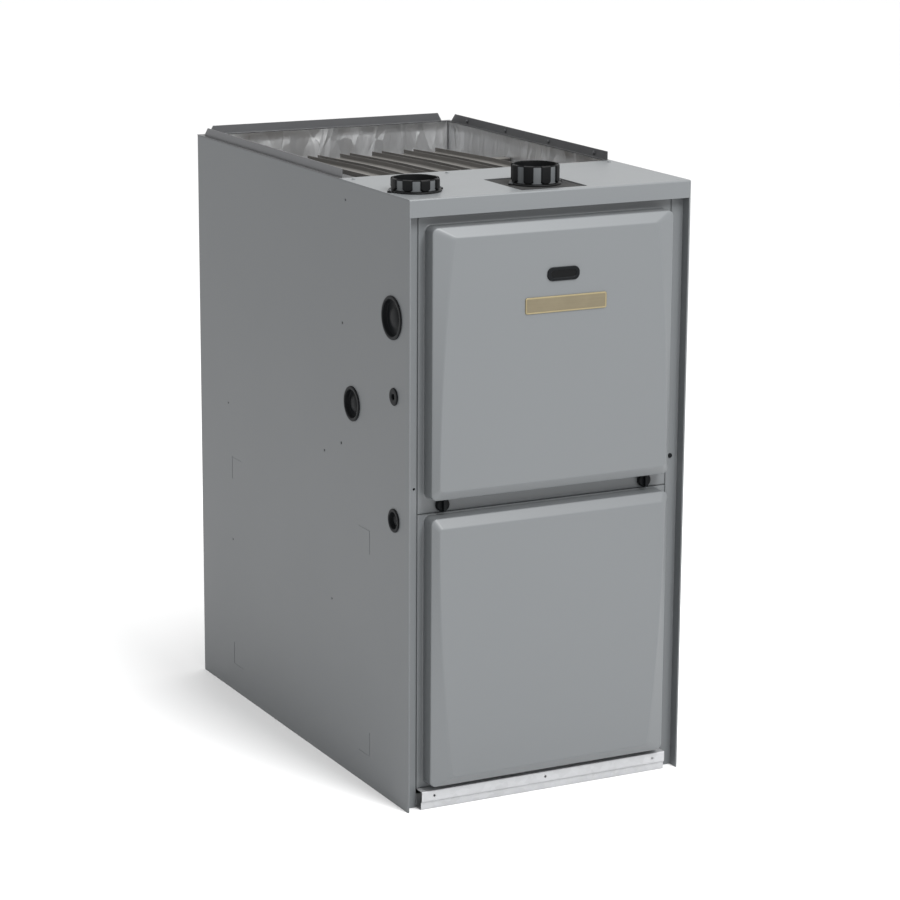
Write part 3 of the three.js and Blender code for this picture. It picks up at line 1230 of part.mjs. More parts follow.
// Board on four posts, with the blocks that stand out of it.
function controlBoard() {
  const rear = BOARD_REAR - BOARD_STANDOFF;
  const front = rear - BOARD_THICKNESS;
  const low = BOARD_TOP - BOARD_HEIGHT;
  const postsAt = [POST_INSET, BOARD_WIDTH - POST_INSET].flatMap((u) =>
    [POST_INSET, BOARD_HEIGHT - POST_INSET].map((v) => [BOARD_LEFT + u, low + v]));
  return join(
    block([BOARD_LEFT, BOARD_LEFT + BOARD_WIDTH], [front, rear], [low, BOARD_TOP]),
    ...postsAt.map((at) => rod('y', POST_RADIUS, [rear - BOARD_THICKNESS / 2, BOARD_REAR], at, 8)),
    ...BOARD_BLOCKS.map(({ across, up, width, height, rise }) => block(
      [BOARD_LEFT + across, BOARD_LEFT + across + width],
      [front - rise, front + BOARD_THICKNESS / 2],
      [low + up, low + up + height],
    )),
  );
}

function transformer() {
  const right = TRAY_HALF_WIDTH - TRANSFORMER_INSET;
  const left = right - 2 * TRANSFORMER_SIZE;
  const middle = (left + right) / 2;
  const half = TRANSFORMER_SIZE / 2;
  const top = DECK_HEIGHT - TRANSFORMER_DROP;
  const low = top - TRANSFORMER_SIZE;
  const rear = TRAY_Y - CLEAR;
  const footRise = TRANSFORMER_FOOT_HEIGHT / 2;
  const woundHalf = half - COIL_INSET;
  return join(
    block([left, right], [rear - TRANSFORMER_FOOT, rear], [top - half - footRise, top - half + footRise]),
    block([middle - half, middle + half], [rear - CORE_DEPTH, rear - TRANSFORMER_FOOT / 2], [low, top]),
    block([middle - woundHalf, middle + woundHalf],
      [rear - CORE_DEPTH - COIL_BULGE, rear - TRANSFORMER_FOOT * 0.75],
      [low - COIL_OVERHANG, top + COIL_OVERHANG]),
  );
}

const SWITCH_FRONT = CROSS_RAIL_FACE + SKIN + CLEAR;

function doorSwitch() {
  const half = DOOR_SWITCH_SIZE / 2;
  const rear = SWITCH_FRONT + DOOR_SWITCH_DEPTH;
  const body = block([DOOR_SWITCH_X - half, DOOR_SWITCH_X + half], [SWITCH_FRONT, rear],
    [KNOB_HEIGHT - half, KNOB_HEIGHT + half]);
  return cut(body, rod('y', PLUNGER_RADIUS + CLEAR, [SWITCH_FRONT - 1, rear - 4],
    [DOOR_SWITCH_X, KNOB_HEIGHT], 14));
}

// Plunger out to the upper door's bottom flange. It pushes in by its travel.
function doorSwitchPlunger() {
  const tip = HEM_FACE + SKIN + CLEAR;
  const rear = SWITCH_FRONT + DOOR_SWITCH_DEPTH - 4 - CLEAR - PLUNGER_TRAVEL;
  return rod('y', PLUNGER_RADIUS, [tip, rear], [DOOR_SWITCH_X, KNOB_HEIGHT], 14);
}

// Plug pressed into a hole of the left wall, with a rim outside.
function sidePlug({ y, z, radius }) {
  const face = LEFT - CLEAR;
  const neck = radius - PLUG_NECK;
  return turned('x', [
    [0, face - PLUG_RIM], [radius - 1, face - PLUG_RIM], [radius, face - PLUG_RIM / 2], [radius, face],
    [neck, face], [neck, face + PLUG_DEPTH], [neck - 2, face + PLUG_DEPTH],
    [neck - 2, face + 1], [0, face + 1],
  ], [y, z]);
}

// ---------------------------------------------------------------- assembly
const furnace = new THREE.Group();
furnace.name = 'forced_air_gas_furnace';

function add(name, solid, material) {
  const mesh = new THREE.Mesh(geometryOf(solid), material);
  mesh.name = name;
  furnace.add(mesh);
}

add('cabinet_wrapper', cabinetWrapper(), PAINT_BODY());
add('top_cap', topCap(), PAINT_BODY());
add('supply_collar', supplyCollar(), DARK_STEEL());
add('base_pan', basePan(), GALVANISED());
add('base_rail', baseRail(), GALVANISED());
add('cross_rail', crossRail(), PAINT_BODY());
add('blower_deck', blowerDeck(), GALVANISED());
add('vestibule_panel', vestibulePanel(), GALVANISED());
for (const wall of ['left', 'right', 'back']) add(`foil_liner_${wall}`, liner(wall), FOIL());

add('upper_door', upperDoor(), PAINT_DOOR());
add('lower_door', doorPressing(LOWER_DOOR), PAINT_DOOR());
add('sight_window', sightWindow(), BLACK_PLASTIC());
add('latch_knob_left', latchKnob(-1), BLACK_PLASTIC());
add('latch_knob_right', latchKnob(1), BLACK_PLASTIC());

add('exhaust_coupling', ventCoupling(EXHAUST_X, TOP + CLEAR, EXHAUST_RISE), BLACK_PLASTIC());
add('intake_coupling', ventCoupling(INTAKE_X, GASKET_TOP + CLEAR, INTAKE_RISE), BLACK_PLASTIC());
add('vent_gasket_plate', ventGasketPlate(), BLACK_PLASTIC());
add('flue_pipe', fluePipe(), PVC());
add('intake_pipe', intakePipe(), PVC());
for (const plug of SIDE_PLUGS) add(plug.name, sidePlug(plug), BLACK_PLASTIC());

BURNER_XS.forEach((x, i) => add(`exchanger_cell_${i + 1}`, exchangerCell(x), ALUMINISED()));
add('secondary_coil', secondaryCoil(), ALUMINIUM());
add('rear_header', rearHeader(), ALUMINISED());

add('burner_box', burnerBox(), GALVANISED());
add('burner_box_cover', burnerBoxCover(), GALVANISED());
BURNER_XS.forEach((x, i) => add(`burner_${i + 1}`, burner(x), ALUMINISED()));
add('gas_manifold', gasManifold(), DARK_STEEL());
add('gas_valve', gasValve(), ALUMINIUM());
add('gas_valve_knob', gasValveKnob(), BLACK_PLASTIC());
add('igniter', probe(BURNER_XS[0], { width: 9, depth: 3 }), CERAMIC());
add('flame_sensor', probe(BURNER_XS[CELL_COUNT - 1], { width: 3, depth: 3 }), CERAMIC());
add('rollout_switch', rolloutSwitch(), BLACK_PLASTIC());
add('rollout_reset_button', resetButton(), finish(0xa3271e, 0.5, 0));

add('collector_box', collectorBox(), BLACK_PLASTIC());
add('inducer_housing', inducerHousing(), BLACK_PLASTIC());
add('inducer_wheel', inducerWheel(), ALUMINIUM());
add('inducer_motor', inducerMotor(), DARK_STEEL());
add('pressure_switch', pressureSwitch(), CERAMIC());
add('pressure_hose', pressureHose(), BLACK_PLASTIC());
add('condensate_trap', condensateTrap(), BLACK_PLASTIC());

add('blower_housing', blowerHousing(), GALVANISED());
add('blower_wheel', blowerWheel(), GALVANISED());
add('blower_motor', blowerMotor(), DARK_STEEL());
add('motor_mount', motorMount(), GALVANISED());
add('control_tray', controlTray(), GALVANISED());
add('control_board', controlBoard(), BOARD_GREEN());
add('transformer', transformer(), DARK_STEEL());
add('door_switch', doorSwitch(), BLACK_PLASTIC());
add('door_switch_plunger', doorSwitchPlunger(), CERAMIC());

export default furnace;
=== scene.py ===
"""Looks of a forced air gas furnace: a sheet-steel cabinet with two pressed doors.

Shapes are worked out in millimetres in the part's own frame: the front faces -Y,
+X is to the right and the floor is at z = 0.
"""

import math

import bmesh
import bpy
from mathutils import Matrix, Vector, noise


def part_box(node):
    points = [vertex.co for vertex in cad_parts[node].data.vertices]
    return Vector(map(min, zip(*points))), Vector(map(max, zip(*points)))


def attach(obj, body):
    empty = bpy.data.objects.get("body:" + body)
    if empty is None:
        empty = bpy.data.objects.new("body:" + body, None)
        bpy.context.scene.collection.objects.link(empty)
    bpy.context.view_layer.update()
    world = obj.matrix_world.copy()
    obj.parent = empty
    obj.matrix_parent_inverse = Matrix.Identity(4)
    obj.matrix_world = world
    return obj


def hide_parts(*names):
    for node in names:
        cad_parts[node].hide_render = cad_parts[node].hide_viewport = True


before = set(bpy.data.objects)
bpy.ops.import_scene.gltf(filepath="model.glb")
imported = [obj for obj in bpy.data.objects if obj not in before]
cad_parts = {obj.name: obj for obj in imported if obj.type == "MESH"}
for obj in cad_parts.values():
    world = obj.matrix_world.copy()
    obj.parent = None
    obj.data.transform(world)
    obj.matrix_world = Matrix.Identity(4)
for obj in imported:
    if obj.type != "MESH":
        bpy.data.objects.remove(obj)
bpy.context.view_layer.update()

MM = 0.001
SKIN = 1.0  # thickness of the cabinet's and doors' sheet
SIDES = (-1, 1)

# Cabinet
HALF_WIDTH = 222.0
FRONT = -375.0
BACK = 375.0
TOP = 876.0  # upper face of the cap
WALL_TOP = 874.7  # upper edge of the side and back walls
HEM_FACE = -358.0  # front of the hem beside the doors
HEM_INNER = 201.0  # where the hem turns back behind the doors
RETURN_REAR = -346.0  # rear edge of the returns of hems and doors
CAP_REAR = -150.0
LIP_LOW = 851.0  # lower edge of the cap's lip
VENT_Y = -303.0
EXHAUST_X = -178.0
INTAKE_X = 10.0
FIRE = 770.0  # height of the burners
BURNER_XS = (-104.0, -38.0, 28.0, 94.0)
INDUCER = (-78.0, 600.0)  # axis of the inducer, x and z
BLOWER = (42.0, 205.0)  # axis of the blower, y and z

# Doors: the flange, the panel's steep wall and the sloping bevel up to the face. The face is
# narrowest at the seam between the doors, its waist, and widens along a parabola from there.
DOOR_HALF = 200.5
DOOR_FACE = -391.0
SHOULDER = -382.0
PANEL_HALF = 190.5
PANEL_CORNER = 9.0
FACE_CORNER = 6.0
BEVEL = 14.0
WAIST_INSET = 9.0
WAIST_FALL = 1.6e-4
UPPER = {"low": 430.8, "high": 849.0, "low_flange": 23.0, "high_flange": 13.0, "waist": "low"}
LOWER = {"low": 28.3, "high": 430.2, "low_flange": 7.0, "high_flange": 2.2, "waist": "high"}
KNOB_X = 163.0
KNOB_Z = 442.3
WINDOW = (8.0, 761.0)  # middle of the sight window, x and z
BADGE = (13.0, 719.0)  # middle of the bare plate, x and z


# ---------------------------------------------------------------- shapes
def spot(axis, centre, u, v, along):
    """A point at (u, v) from the centre across an axis, and a place along it."""
    a, b = centre[0] + u, centre[1] + v
    return {"x": (along, a, b), "y": (a, along, b), "z": (a, b, along)}[axis]


def around(radius, steps, turn=0.0, centre=(0.0, 0.0)):
    """Evenly spaced points of a circle."""
    return [(centre[0] + radius * math.cos(turn + 2 * math.pi * k / steps),
             centre[1] + radius * math.sin(turn + 2 * math.pi * k / steps)) for k in range(steps)]


def bands(starts, count, closed=False):
    """Quads between rows of count points each. The starts are each row's first point."""
    pairs = list(zip(starts, starts[1:])) + ([(starts[-1], starts[0])] if closed else [])
    return [(a + k, a + (k + 1) % count, b + (k + 1) % count, b + k)
            for a, b in pairs for k in range(count)]


def headings(path):
    """Each point of a path with the direction in which the path runs there."""
    path = [Vector(p) for p in path]
    for i, here in enumerate(path):
        yield here, (path[min(i + 1, len(path) - 1)] - path[max(i - 1, 0)]).normalized()


def span(node):
    """The low and high corner of a CAD node's box, in millimetres."""
    return tuple(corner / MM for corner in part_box(node))


def centre_of(node, axis):
    """The middle of a CAD node's box across an axis."""
    low, high = span(node)
    x, y, z = (low + high) / 2
    return {"x": (y, z), "y": (x, z), "z": (x, y)}[axis]


class Form:
    """The shapes of one piece, gathered in millimetres. Rounded edges are marked for wear."""

    def __init__(self, node=None):
        """Starts empty, or from a CAD node whose flat faces are joined up again."""
        self.mesh = bmesh.new()
        if node:
            self.mesh.from_mesh(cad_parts[node].data)
            bmesh.ops.scale(self.mesh, vec=(1 / MM,) * 3, verts=self.mesh.verts)
            bmesh.ops.remove_doubles(self.mesh, verts=self.mesh.verts, dist=0.004)
            bmesh.ops.dissolve_limit(self.mesh, angle_limit=math.radians(0.6),
                                     verts=self.mesh.verts, edges=self.mesh.edges)
            for face in self.mesh.faces:
                face.material_index = 0
        self.edge = self.mesh.faces.layers.float.new("edge")

    def shell(self, points, faces, finish=0):
        """Adds points and the faces between them. Gives both back."""
        verts = [self.mesh.verts.new(p) for p in points]
        made = []
        for corners in faces:
            face = self.mesh.faces.new([verts[i] for i in corners])
            face.material_index = finish
            made.append(face)
        return verts, made

    def soften(self, edges, width, steps=2):
        """Rounds edges, and marks the new faces as places that wear."""
        done = bmesh.ops.bevel(self.mesh, geom=edges, offset=width, offset_type="OFFSET",
                               segments=steps, profile=0.5, affect="EDGES",
                               clamp_overlap=True, material=-1)
        for face in done["faces"]:
            face[self.edge] = 1.0

    def soften_all(self, width, steps=2, angle=28.0):
        """Rounds every edge that is sharper than an angle in degrees."""
        limit = math.radians(angle)
        sharp = [e for e in self.mesh.edges
                 if len(e.link_faces) == 2 and e.calc_face_angle(0.0) > limit]
        self.soften(sharp, width, steps)
        return self

    def block(self, low, high, finish=0, edge=0.5, steps=2):
        """A block between two corners, with rounded edges."""
        (x0, y0, z0), (x1, y1, z1) = low, high
        points = [(x, y, z) for x in (x0, x1) for y in (y0, y1) for z in (z0, z1)]
        faces = [(0, 1, 3, 2), (4, 6, 7, 5), (0, 4, 5, 1), (2, 3, 7, 6), (0, 2, 6, 4),
                 (1, 5, 7, 3)]
        _, made = self.shell(points, faces, finish)
        if edge:
            self.soften(list(dict.fromkeys(e for f in made for e in f.edges)), edge, steps)
        return self

    def prism(self, axis, outline, low, high, finish=0, edge=0.0, steps=2, centre=(0, 0)):
        """Draws an outline out along an axis. The edges round its two ends may be rounded."""
        count = len(outline)
        points = [spot(axis, centre, u, v, w) for w in (low, high) for u, v in outline]
        faces = [list(range(count))[::-1], list(range(count, 2 * count))]
        faces += bands([0, count], count)
        _, made = self.shell(points, faces, finish)
        if edge:
            self.soften(list(dict.fromkeys(e for f in made[:2] for e in f.edges)), edge, steps)
        return self

    def lathe(self, axis, profile, centre, finish=0, steps=32, closed=False):
        """Turns (radius, place along the axis) round the axis. A radius of 0 closes an end."""
        points, rings = [], []
        for radius, along in profile:
            ring = [(0.0, 0.0)] if radius < 1e-6 else around(radius, steps)
            rings.append(range(len(points), len(points) + len(ring)))
            points += [spot(axis, centre, u, v, along) for u, v in ring]
        pairs = list(zip(rings, rings[1:])) + ([(rings[-1], rings[0])] if closed else [])
        faces = []
        for one, two in pairs:
            for k in range(steps):
                nxt = (k + 1) % steps
                if len(one) == 1 and len(two) == 1:
                    break
                if len(one) == 1:
                    faces.append((one[0], two[k], two[nxt]))
                elif len(two) == 1:
                    faces.append((one[k], one[nxt], two[0]))
                else:
                    faces.append((one[k], one[nxt], two[nxt], two[k]))
        self.shell(points, faces, finish)
        return self

    def rod(self, axis, centre, radius, low, high, finish=0, steps=32):
        """A round bar, or the tool for a round hole."""
        return self.lathe(axis, [(0, low), (radius, low), (radius, high), (0, high)], centre,
                          finish, steps)

    def dimple(self, axis, centre, face, out, radius, wide=3.6):
        """Cuts a hole with a countersunk mouth into a sheet that faces out, 1 or -1."""
        return self.lathe(axis, [(0, face + 2 * out), (wide, face + 2 * out), (wide, face),
                                 (radius, face - 0.6 * out), (radius, face - 4 * out),
                                 (0, face - 4 * out)], centre, steps=20)

    def stack(self, axis, rings, centre):
        """Joins outlines, each at its place along an axis, and closes both ends."""
        count = len(rings[0][0])
        points = [spot(axis, centre, u, v, along) for outline, along in rings for u, v in outline]
        starts = range(0, len(points), count)
        return self.shell(points, bands(starts, count)
                          + [list(range(count)), list(range(starts[-1], len(points)))])[1]

    def sweep(self, path, section, side):
        """Carries a closed section along a path. The side is the section's first direction."""
        points, count, across = [], len(section), Vector(side)
        for here, run in headings(path):
            up = run.cross(across).normalized()
            points += [tuple(here + across * u + up * v) for u, v in section]
        starts = range(0, len(points), count)
        self.shell(points, bands(starts, count)
                   + [list(range(count))[::-1], list(range(starts[-1], len(points)))])
        return self

    def screw(self, axis, centre, seat, out, finish=0, radius=4.2):
        """A hexagon head on a flange, standing out of a surface in the direction of out."""
        self.lathe(axis, [(0, seat), (radius, seat), (radius, seat + 0.4 * out),
                          (radius - 0.5, seat + 0.8 * out), (0, seat + 0.8 * out)],
                   centre, finish, 18)
        self.prism(axis, around(radius - 1.4, 6, 0.4), seat + 0.6 * out, seat + 2.0 * out,
                   finish, 0.3, 1, centre)
        return self

    def bare_piece(self, name):
        """The form as an object in metres, with nothing on it yet."""
        bmesh.ops.scale(self.mesh, vec=(MM,) * 3, verts=self.mesh.verts)
        mesh = bpy.data.meshes.new(name)
        self.mesh.to_mesh(mesh)
        self.mesh.free()
        piece = bpy.data.objects.new(name, mesh)
        bpy.context.scene.collection.objects.link(piece)
        return piece

    def make(self, name, finishes, slot, body="cabinet", replaces=(), cuts=None, sharp=50.0,
             sheet=0.0):
        """Turns the form into a piece that rides on a body.

        An open form becomes a sheet of that thickness behind its largest face, the front.
        """
        bmesh.ops.recalc_face_normals(self.mesh, faces=self.mesh.faces)
        if sheet and max(self.mesh.faces, key=lambda f: len(f.verts)).normal.y > 0:
            bmesh.ops.reverse_faces(self.mesh, faces=self.mesh.faces)
        piece = self.bare_piece(name)
        for finish in finishes:
            piece.data.materials.append(finish)
        if sheet:
            change(piece, "SOLIDIFY", thickness=sheet * MM, offset=-1.0, use_even_offset=True)
        if cuts:
            bmesh.ops.recalc_face_normals(cuts.mesh, faces=cuts.mesh.faces)
            cutter = cuts.bare_piece("cutter")
            change(piece, "BOOLEAN", object=cutter, operation="DIFFERENCE", solver="EXACT")
            bpy.data.objects.remove(cutter)
        mesh = piece.data
        mesh.polygons.foreach_set("use_smooth", [True] * len(mesh.polygons))
        mesh.set_sharp_from_angle(angle=math.radians(sharp))
        change(piece, "WEIGHTED_NORMAL", keep_sharp=True, weight=80)
        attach(piece, body)
        if replaces:
            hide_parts(replaces)
        return piece


def change(piece, kind, **settings):
    """Applies one modifier to a piece's mesh."""
    modifier = piece.modifiers.new("change", kind)
    for key, value in settings.items():
        setattr(modifier, key, value)
    bpy.context.view_layer.update()
    graph = bpy.context.evaluated_depsgraph_get()
    mesh = bpy.data.meshes.new_from_object(piece.evaluated_get(graph), depsgraph=graph)
    piece.modifiers.clear()
    piece.data = mesh


def rounded_rectangle(half_u, half_v, radius, steps=5):
    """The outline of a rectangle with round corners about its middle."""
    outline = []
    for k, (su, sv) in enumerate(((1, 1), (-1, 1), (-1, -1), (1, -1))):
        for i in range(steps + 1):
            angle = math.pi / 2 * (k + i / steps)
            outline.append((su * (half_u - radius) + radius * math.cos(angle),
                            sv * (half_v - radius) + radius * math.sin(angle)))
    return outline


def filleted(line, radius, steps=4):
    """A line with its inner corners rounded."""
    out = [Vector(line[0])]
    for before, here, after in zip(line, line[1:], line[2:]):
        before, here, after = Vector(before), Vector(here), Vector(after)
        back, ahead = before - here, after - here
        reach = min(radius, 0.49 * back.length, 0.49 * ahead.length)
        start, end = here + back.normalized() * reach, here + ahead.normalized() * reach
        for i in range(steps + 1):
            t = i / steps
            out.append(start * (1 - t) ** 2 + here * 2 * t * (1 - t) + end * t * t)
    return out + [Vector(line[-1])]


def folded(line, thickness=SKIN, radius=1.6, steps=4):
    """The outline of a sheet bent along a line."""
    one, two = [], []
    for here, run in headings(filleted(line, radius, steps)):
        normal = Vector((-run.y, run.x)) * thickness / 2
        one.append(tuple(here + normal))
        two.append(tuple(here - normal))
    return one + two[::-1]


# ---------------------------------------------------------------- node groups
def group(name, inputs, outputs):
    """An empty shader node group: inputs are (name, kind, value), outputs (name, kind)."""
    tree = bpy.data.node_groups.new(name, "ShaderNodeTree")
    for label, kind, value in inputs:
        tree.interface.new_socket(label, in_out="INPUT", socket_type=kind).default_value = value
    for label, kind in outputs:
        tree.interface.new_socket(label, in_out="OUTPUT", socket_type=kind)
    return tree, tree.nodes.new("NodeGroupInput"), tree.nodes.new("NodeGroupOutput")


def add(tree, kind, values=(), **settings):
    """A new node with its settings, and with each input set to a value or linked."""
    node = tree.nodes.new(kind)
    for key, value in settings.items():
        setattr(node, key, value)
    for key, value in dict(values).items():
        if isinstance(value, bpy.types.NodeSocket):
            tree.links.new(value, node.inputs[key])
        else:
            node.inputs[key].default_value = value
    return node


def sums(tree, operation, one, two):
    """A sum, difference or product of two values."""
    return add(tree, "ShaderNodeMath", {0: one, 1: two}, operation=operation).outputs[0]


FLOAT = "NodeSocketFloat"


def object_place(tree):
    """The place on the piece, which moves along with it."""
    return add(tree, "ShaderNodeTexCoord").outputs["Object"]


def cloud(tree, given, place, detail, roughness=0.5):
    """A noise at a group's own scale."""
    return add(tree, "ShaderNodeTexNoise", {"Vector": place, "Scale": given.outputs["Scale"],
                                           "Detail": detail, "Roughness": roughness})


def bent_place(tree, given, place, detail, reach):
    """A place shifted about by a noise, so that cell borders wander."""
    wander = cloud(tree, given, place, detail).outputs["Color"]
    shift = add(tree, "ShaderNodeVectorMath", {0: wander, 1: (reach,) * 3}, operation="MULTIPLY")
    return add(tree, "ShaderNodeVectorMath", {0: place, 1: shift.outputs[0]},
               operation="ADD").outputs[0]


def about_one(tree, given, out, value):
    """Sends out a tone: 1, plus or minus what a value is off its middle times the amount."""
    spread = sums(tree, "MULTIPLY", sums(tree, "SUBTRACT", value, 0.5), given.outputs["Amount"])
    tree.links.new(sums(tree, "ADD", spread, 1.0), out.inputs["Tone"])


def masked(tree, given, out, one, two):
    """Sends out a mask: the product of two others and the amount."""
    product = sums(tree, "MULTIPLY", one, two)
    tree.links.new(sums(tree, "MULTIPLY", product, given.outputs["Amount"]), out.inputs["Mask"])


def mottle_group():
    """Slow, faint changes of tone over a painted or cast surface."""
    tree, given, out = group("mottle", [("Scale", FLOAT, 8.0), ("Amount", FLOAT, 0.05)],
                             [("Tone", FLOAT)])
    about_one(tree, given, out, cloud(tree, given, object_place(tree), 5.0, 0.55).outputs[0])
    return tree


def grain_group():
    """Fine relief: orange peel in paint, the skin of a moulding or a casting."""
    tree, given, out = group("grain", [("Scale", FLOAT, 400.0)], [("Height", FLOAT)])
    fine = cloud(tree, given, object_place(tree), 3.0)
    tree.links.new(fine.outputs[0], out.inputs["Height"])
    return tree


def worn_group():
    """Where handling has rubbed an edge: the marked edges, broken up."""
    tree, given, out = group("worn_edges", [("Amount", FLOAT, 0.5), ("Scale", FLOAT, 60.0)],
                             [("Mask", FLOAT)])
    marked = add(tree, "ShaderNodeAttribute", attribute_name="edge").outputs["Fac"]
    patches = cloud(tree, given, object_place(tree), 4.0, 0.65).outputs[0]
    cut = add(tree, "ShaderNodeMapRange", {"Value": patches, "From Min": 0.38, "From Max": 0.62})
    masked(tree, given, out, marked, cut.outputs[0])
    return tree


def dust_group():
    """Dust that settles on faces that look up, thicker in patches."""
    tree, given, out = group("dust", [("Amount", FLOAT, 0.3), ("Scale", FLOAT, 14.0)],
                             [("Mask", FLOAT)])
    facing = add(tree, "ShaderNodeSeparateXYZ",
                 {0: add(tree, "ShaderNodeNewGeometry").outputs["Normal"]}).outputs["Z"]
    up = add(tree, "ShaderNodeMapRange", {"Value": facing, "From Min": 0.5, "From Max": 1.0})
    patches = cloud(tree, given, object_place(tree), 6.0, 0.7).outputs[0]
    thick = add(tree, "ShaderNodeMapRange", {"Value": patches, "From Min": 0.3, "From Max": 0.75})
    masked(tree, given, out, up.outputs[0], thick.outputs[0])
    return tree


def spangle_group():
    """The crystal pattern of hot-dip zinc: flat patches of slightly different tone."""
    tree, given, out = group("spangle", [("Scale", FLOAT, 90.0), ("Amount", FLOAT, 0.2)],
                             [("Tone", FLOAT), ("Patch", FLOAT)])
    cells = add(tree, "ShaderNodeTexVoronoi",
                {"Vector": bent_place(tree, given, object_place(tree), 2.0, 0.006),
                 "Scale": given.outputs["Scale"]})
    patch = add(tree, "ShaderNodeSeparateColor", {0: cells.outputs["Color"]}).outputs[0]
    about_one(tree, given, out, patch)
    tree.links.new(patch, out.inputs["Patch"])
    return tree


def brushed_group():
    """Lines left by rolling or brushing, drawn out along one direction."""
    tree, given, out = group("brushed", [("Scale", FLOAT, 30.0), ("Amount", FLOAT, 0.1),
                                         ("Stretch", "NodeSocketVector", (1.0, 1.0, 30.0))],
                             [("Tone", FLOAT), ("Height", FLOAT)])
    drawn = add(tree, "ShaderNodeVectorMath", {0: object_place(tree), 1: given.outputs["Stretch"]},
                operation="MULTIPLY")
    lines = cloud(tree, given, drawn.outputs[0], 4.0, 0.6).outputs[0]
    about_one(tree, given, out, lines)
    tree.links.new(lines, out.inputs["Height"])
    return tree


def crumple_group():
    """Creases of thin foil that hangs: a net of sharp ridges, drawn out upright."""
    tree, given, out = group("crumple", [("Scale", FLOAT, 60.0)], [("Height", FLOAT)])
    upright = add(tree, "ShaderNodeVectorMath", {0: object_place(tree), 1: (1.0, 1.0, 0.3)},
                  operation="MULTIPLY").outputs[0]
    facets = add(tree, "ShaderNodeTexVoronoi",
                 {"Vector": bent_place(tree, given, upright, 3.0, 0.02),
                  "Scale": given.outputs["Scale"]}, feature="F2")
    tree.links.new(facets.outputs["Distance"], out.inputs["Height"])
    return tree


MOTTLE, GRAIN, WORN, DUST = mottle_group(), grain_group(), worn_group(), dust_group()
SPANGLE, BRUSHED, CRUMPLE = spangle_group(), brushed_group(), crumple_group()


# ---------------------------------------------------------------- finishes
def linear(hexadecimal):
    """The linear colour of a plain #rrggbb value."""
    out = []
    for i in (0, 2, 4):
        c = int(hexadecimal[i:i + 2], 16) / 255
        out.append(c / 12.92 if c <= 0.04045 else ((c + 0.055) / 1.055) ** 2.4)
    return (*out, 1.0)


def finish(name, colour, roughness, metallic=0.0, mottle=(8.0, 0.06), grain=(400.0, 0.03),
           worn=None, dust=None, spangle=None, brushed=None, crumple=None, specular=0.5,
           coat=0.0, patches=None):
    """A material: a base colour whose tone, gloss and relief all change over the surface.

    mottle, spangle: scale and amount. grain: scale and height in millimetres.
    brushed: scale, amount and stretch. crumple: scale and strength.
    worn: colour, amount and scale. dust: colour and amount. patches: colour and scale.
    """
    material = bpy.data.materials.new(name)
    material.use_nodes = True
    tree = material.node_tree
    shader = tree.nodes["Principled BSDF"]
    shader.inputs["Metallic"].default_value = metallic
    shader.inputs["Specular IOR Level"].default_value = specular
    shader.inputs["Coat Weight"].default_value = coat

    def placed(kind, **values):
        node = tree.nodes.new("ShaderNodeGroup")
        node.node_tree = kind
        for key, value in values.items():
            node.inputs[key].default_value = value
        return node.outputs

    def tinted(below, above, share):
        return add(tree, "ShaderNodeMix", {0: share, 6: below, 7: above},
                   data_type="RGBA").outputs[2]

    tone = placed(MOTTLE, Scale=mottle[0], Amount=mottle[1])["Tone"]
    gloss = add(tree, "ShaderNodeMapRange", {"Value": tone, "From Min": 1 - mottle[1] / 2,
                                            "From Max": 1 + mottle[1] / 2,
                                            "To Min": roughness - 0.04,
                                            "To Max": roughness + 0.04}).outputs[0]
    relief = []
    if spangle:
        zinc = placed(SPANGLE, Scale=spangle[0], Amount=spangle[1])
        tone = sums(tree, "MULTIPLY", tone, zinc["Tone"])
        gloss = sums(tree, "ADD", gloss, sums(tree, "MULTIPLY", zinc["Patch"], 0.12))
    if brushed:
        lines = placed(BRUSHED, Scale=brushed[0], Amount=brushed[1], Stretch=brushed[2])
        tone = sums(tree, "MULTIPLY", tone, lines["Tone"])
        relief.append((lines["Height"], 0.12, 0.0002))
    if crumple:
        relief.append((placed(CRUMPLE, Scale=crumple[0])["Height"], crumple[1], 0.01))
    relief.append((placed(GRAIN, Scale=grain[0])["Height"], 1.0, grain[1] * MM))
    base = linear(colour)
    if patches:
        spots = placed(MOTTLE, Scale=patches[1], Amount=1.0)["Tone"]
        share = add(tree, "ShaderNodeMapRange", {"Value": spots, "From Min": 0.95,
                                                "From Max": 1.2}).outputs[0]
        base = tinted(base, linear(patches[0]), share)
    grey = add(tree, "ShaderNodeCombineColor", {0: tone, 1: tone, 2: tone}).outputs[0]
    surface = add(tree, "ShaderNodeMix", {0: 1.0, 6: base, 7: grey}, data_type="RGBA",
                  blend_type="MULTIPLY").outputs[2]
    if worn:
        mask = placed(WORN, Amount=worn[1], Scale=worn[2])["Mask"]
        surface = tinted(surface, linear(worn[0]), mask)
    if dust:
        mask = placed(DUST, Amount=dust[1], Scale=14.0)["Mask"]
        surface = tinted(surface, linear(dust[0]), mask)
        gloss = sums(tree, "ADD", gloss, sums(tree, "MULTIPLY", mask, 0.3))
    tree.links.new(surface, shader.inputs["Base Color"])
    tree.links.new(gloss, shader.inputs["Roughness"])
    normal = None
    for height, strength, distance in relief:
        values = {"Height": height, "Strength": strength, "Distance": distance}
        if normal:
            values["Normal"] = normal
        normal = add(tree, "ShaderNodeBump", values).outputs[0]
    tree.links.new(normal, shader.inputs["Normal"])
    return material


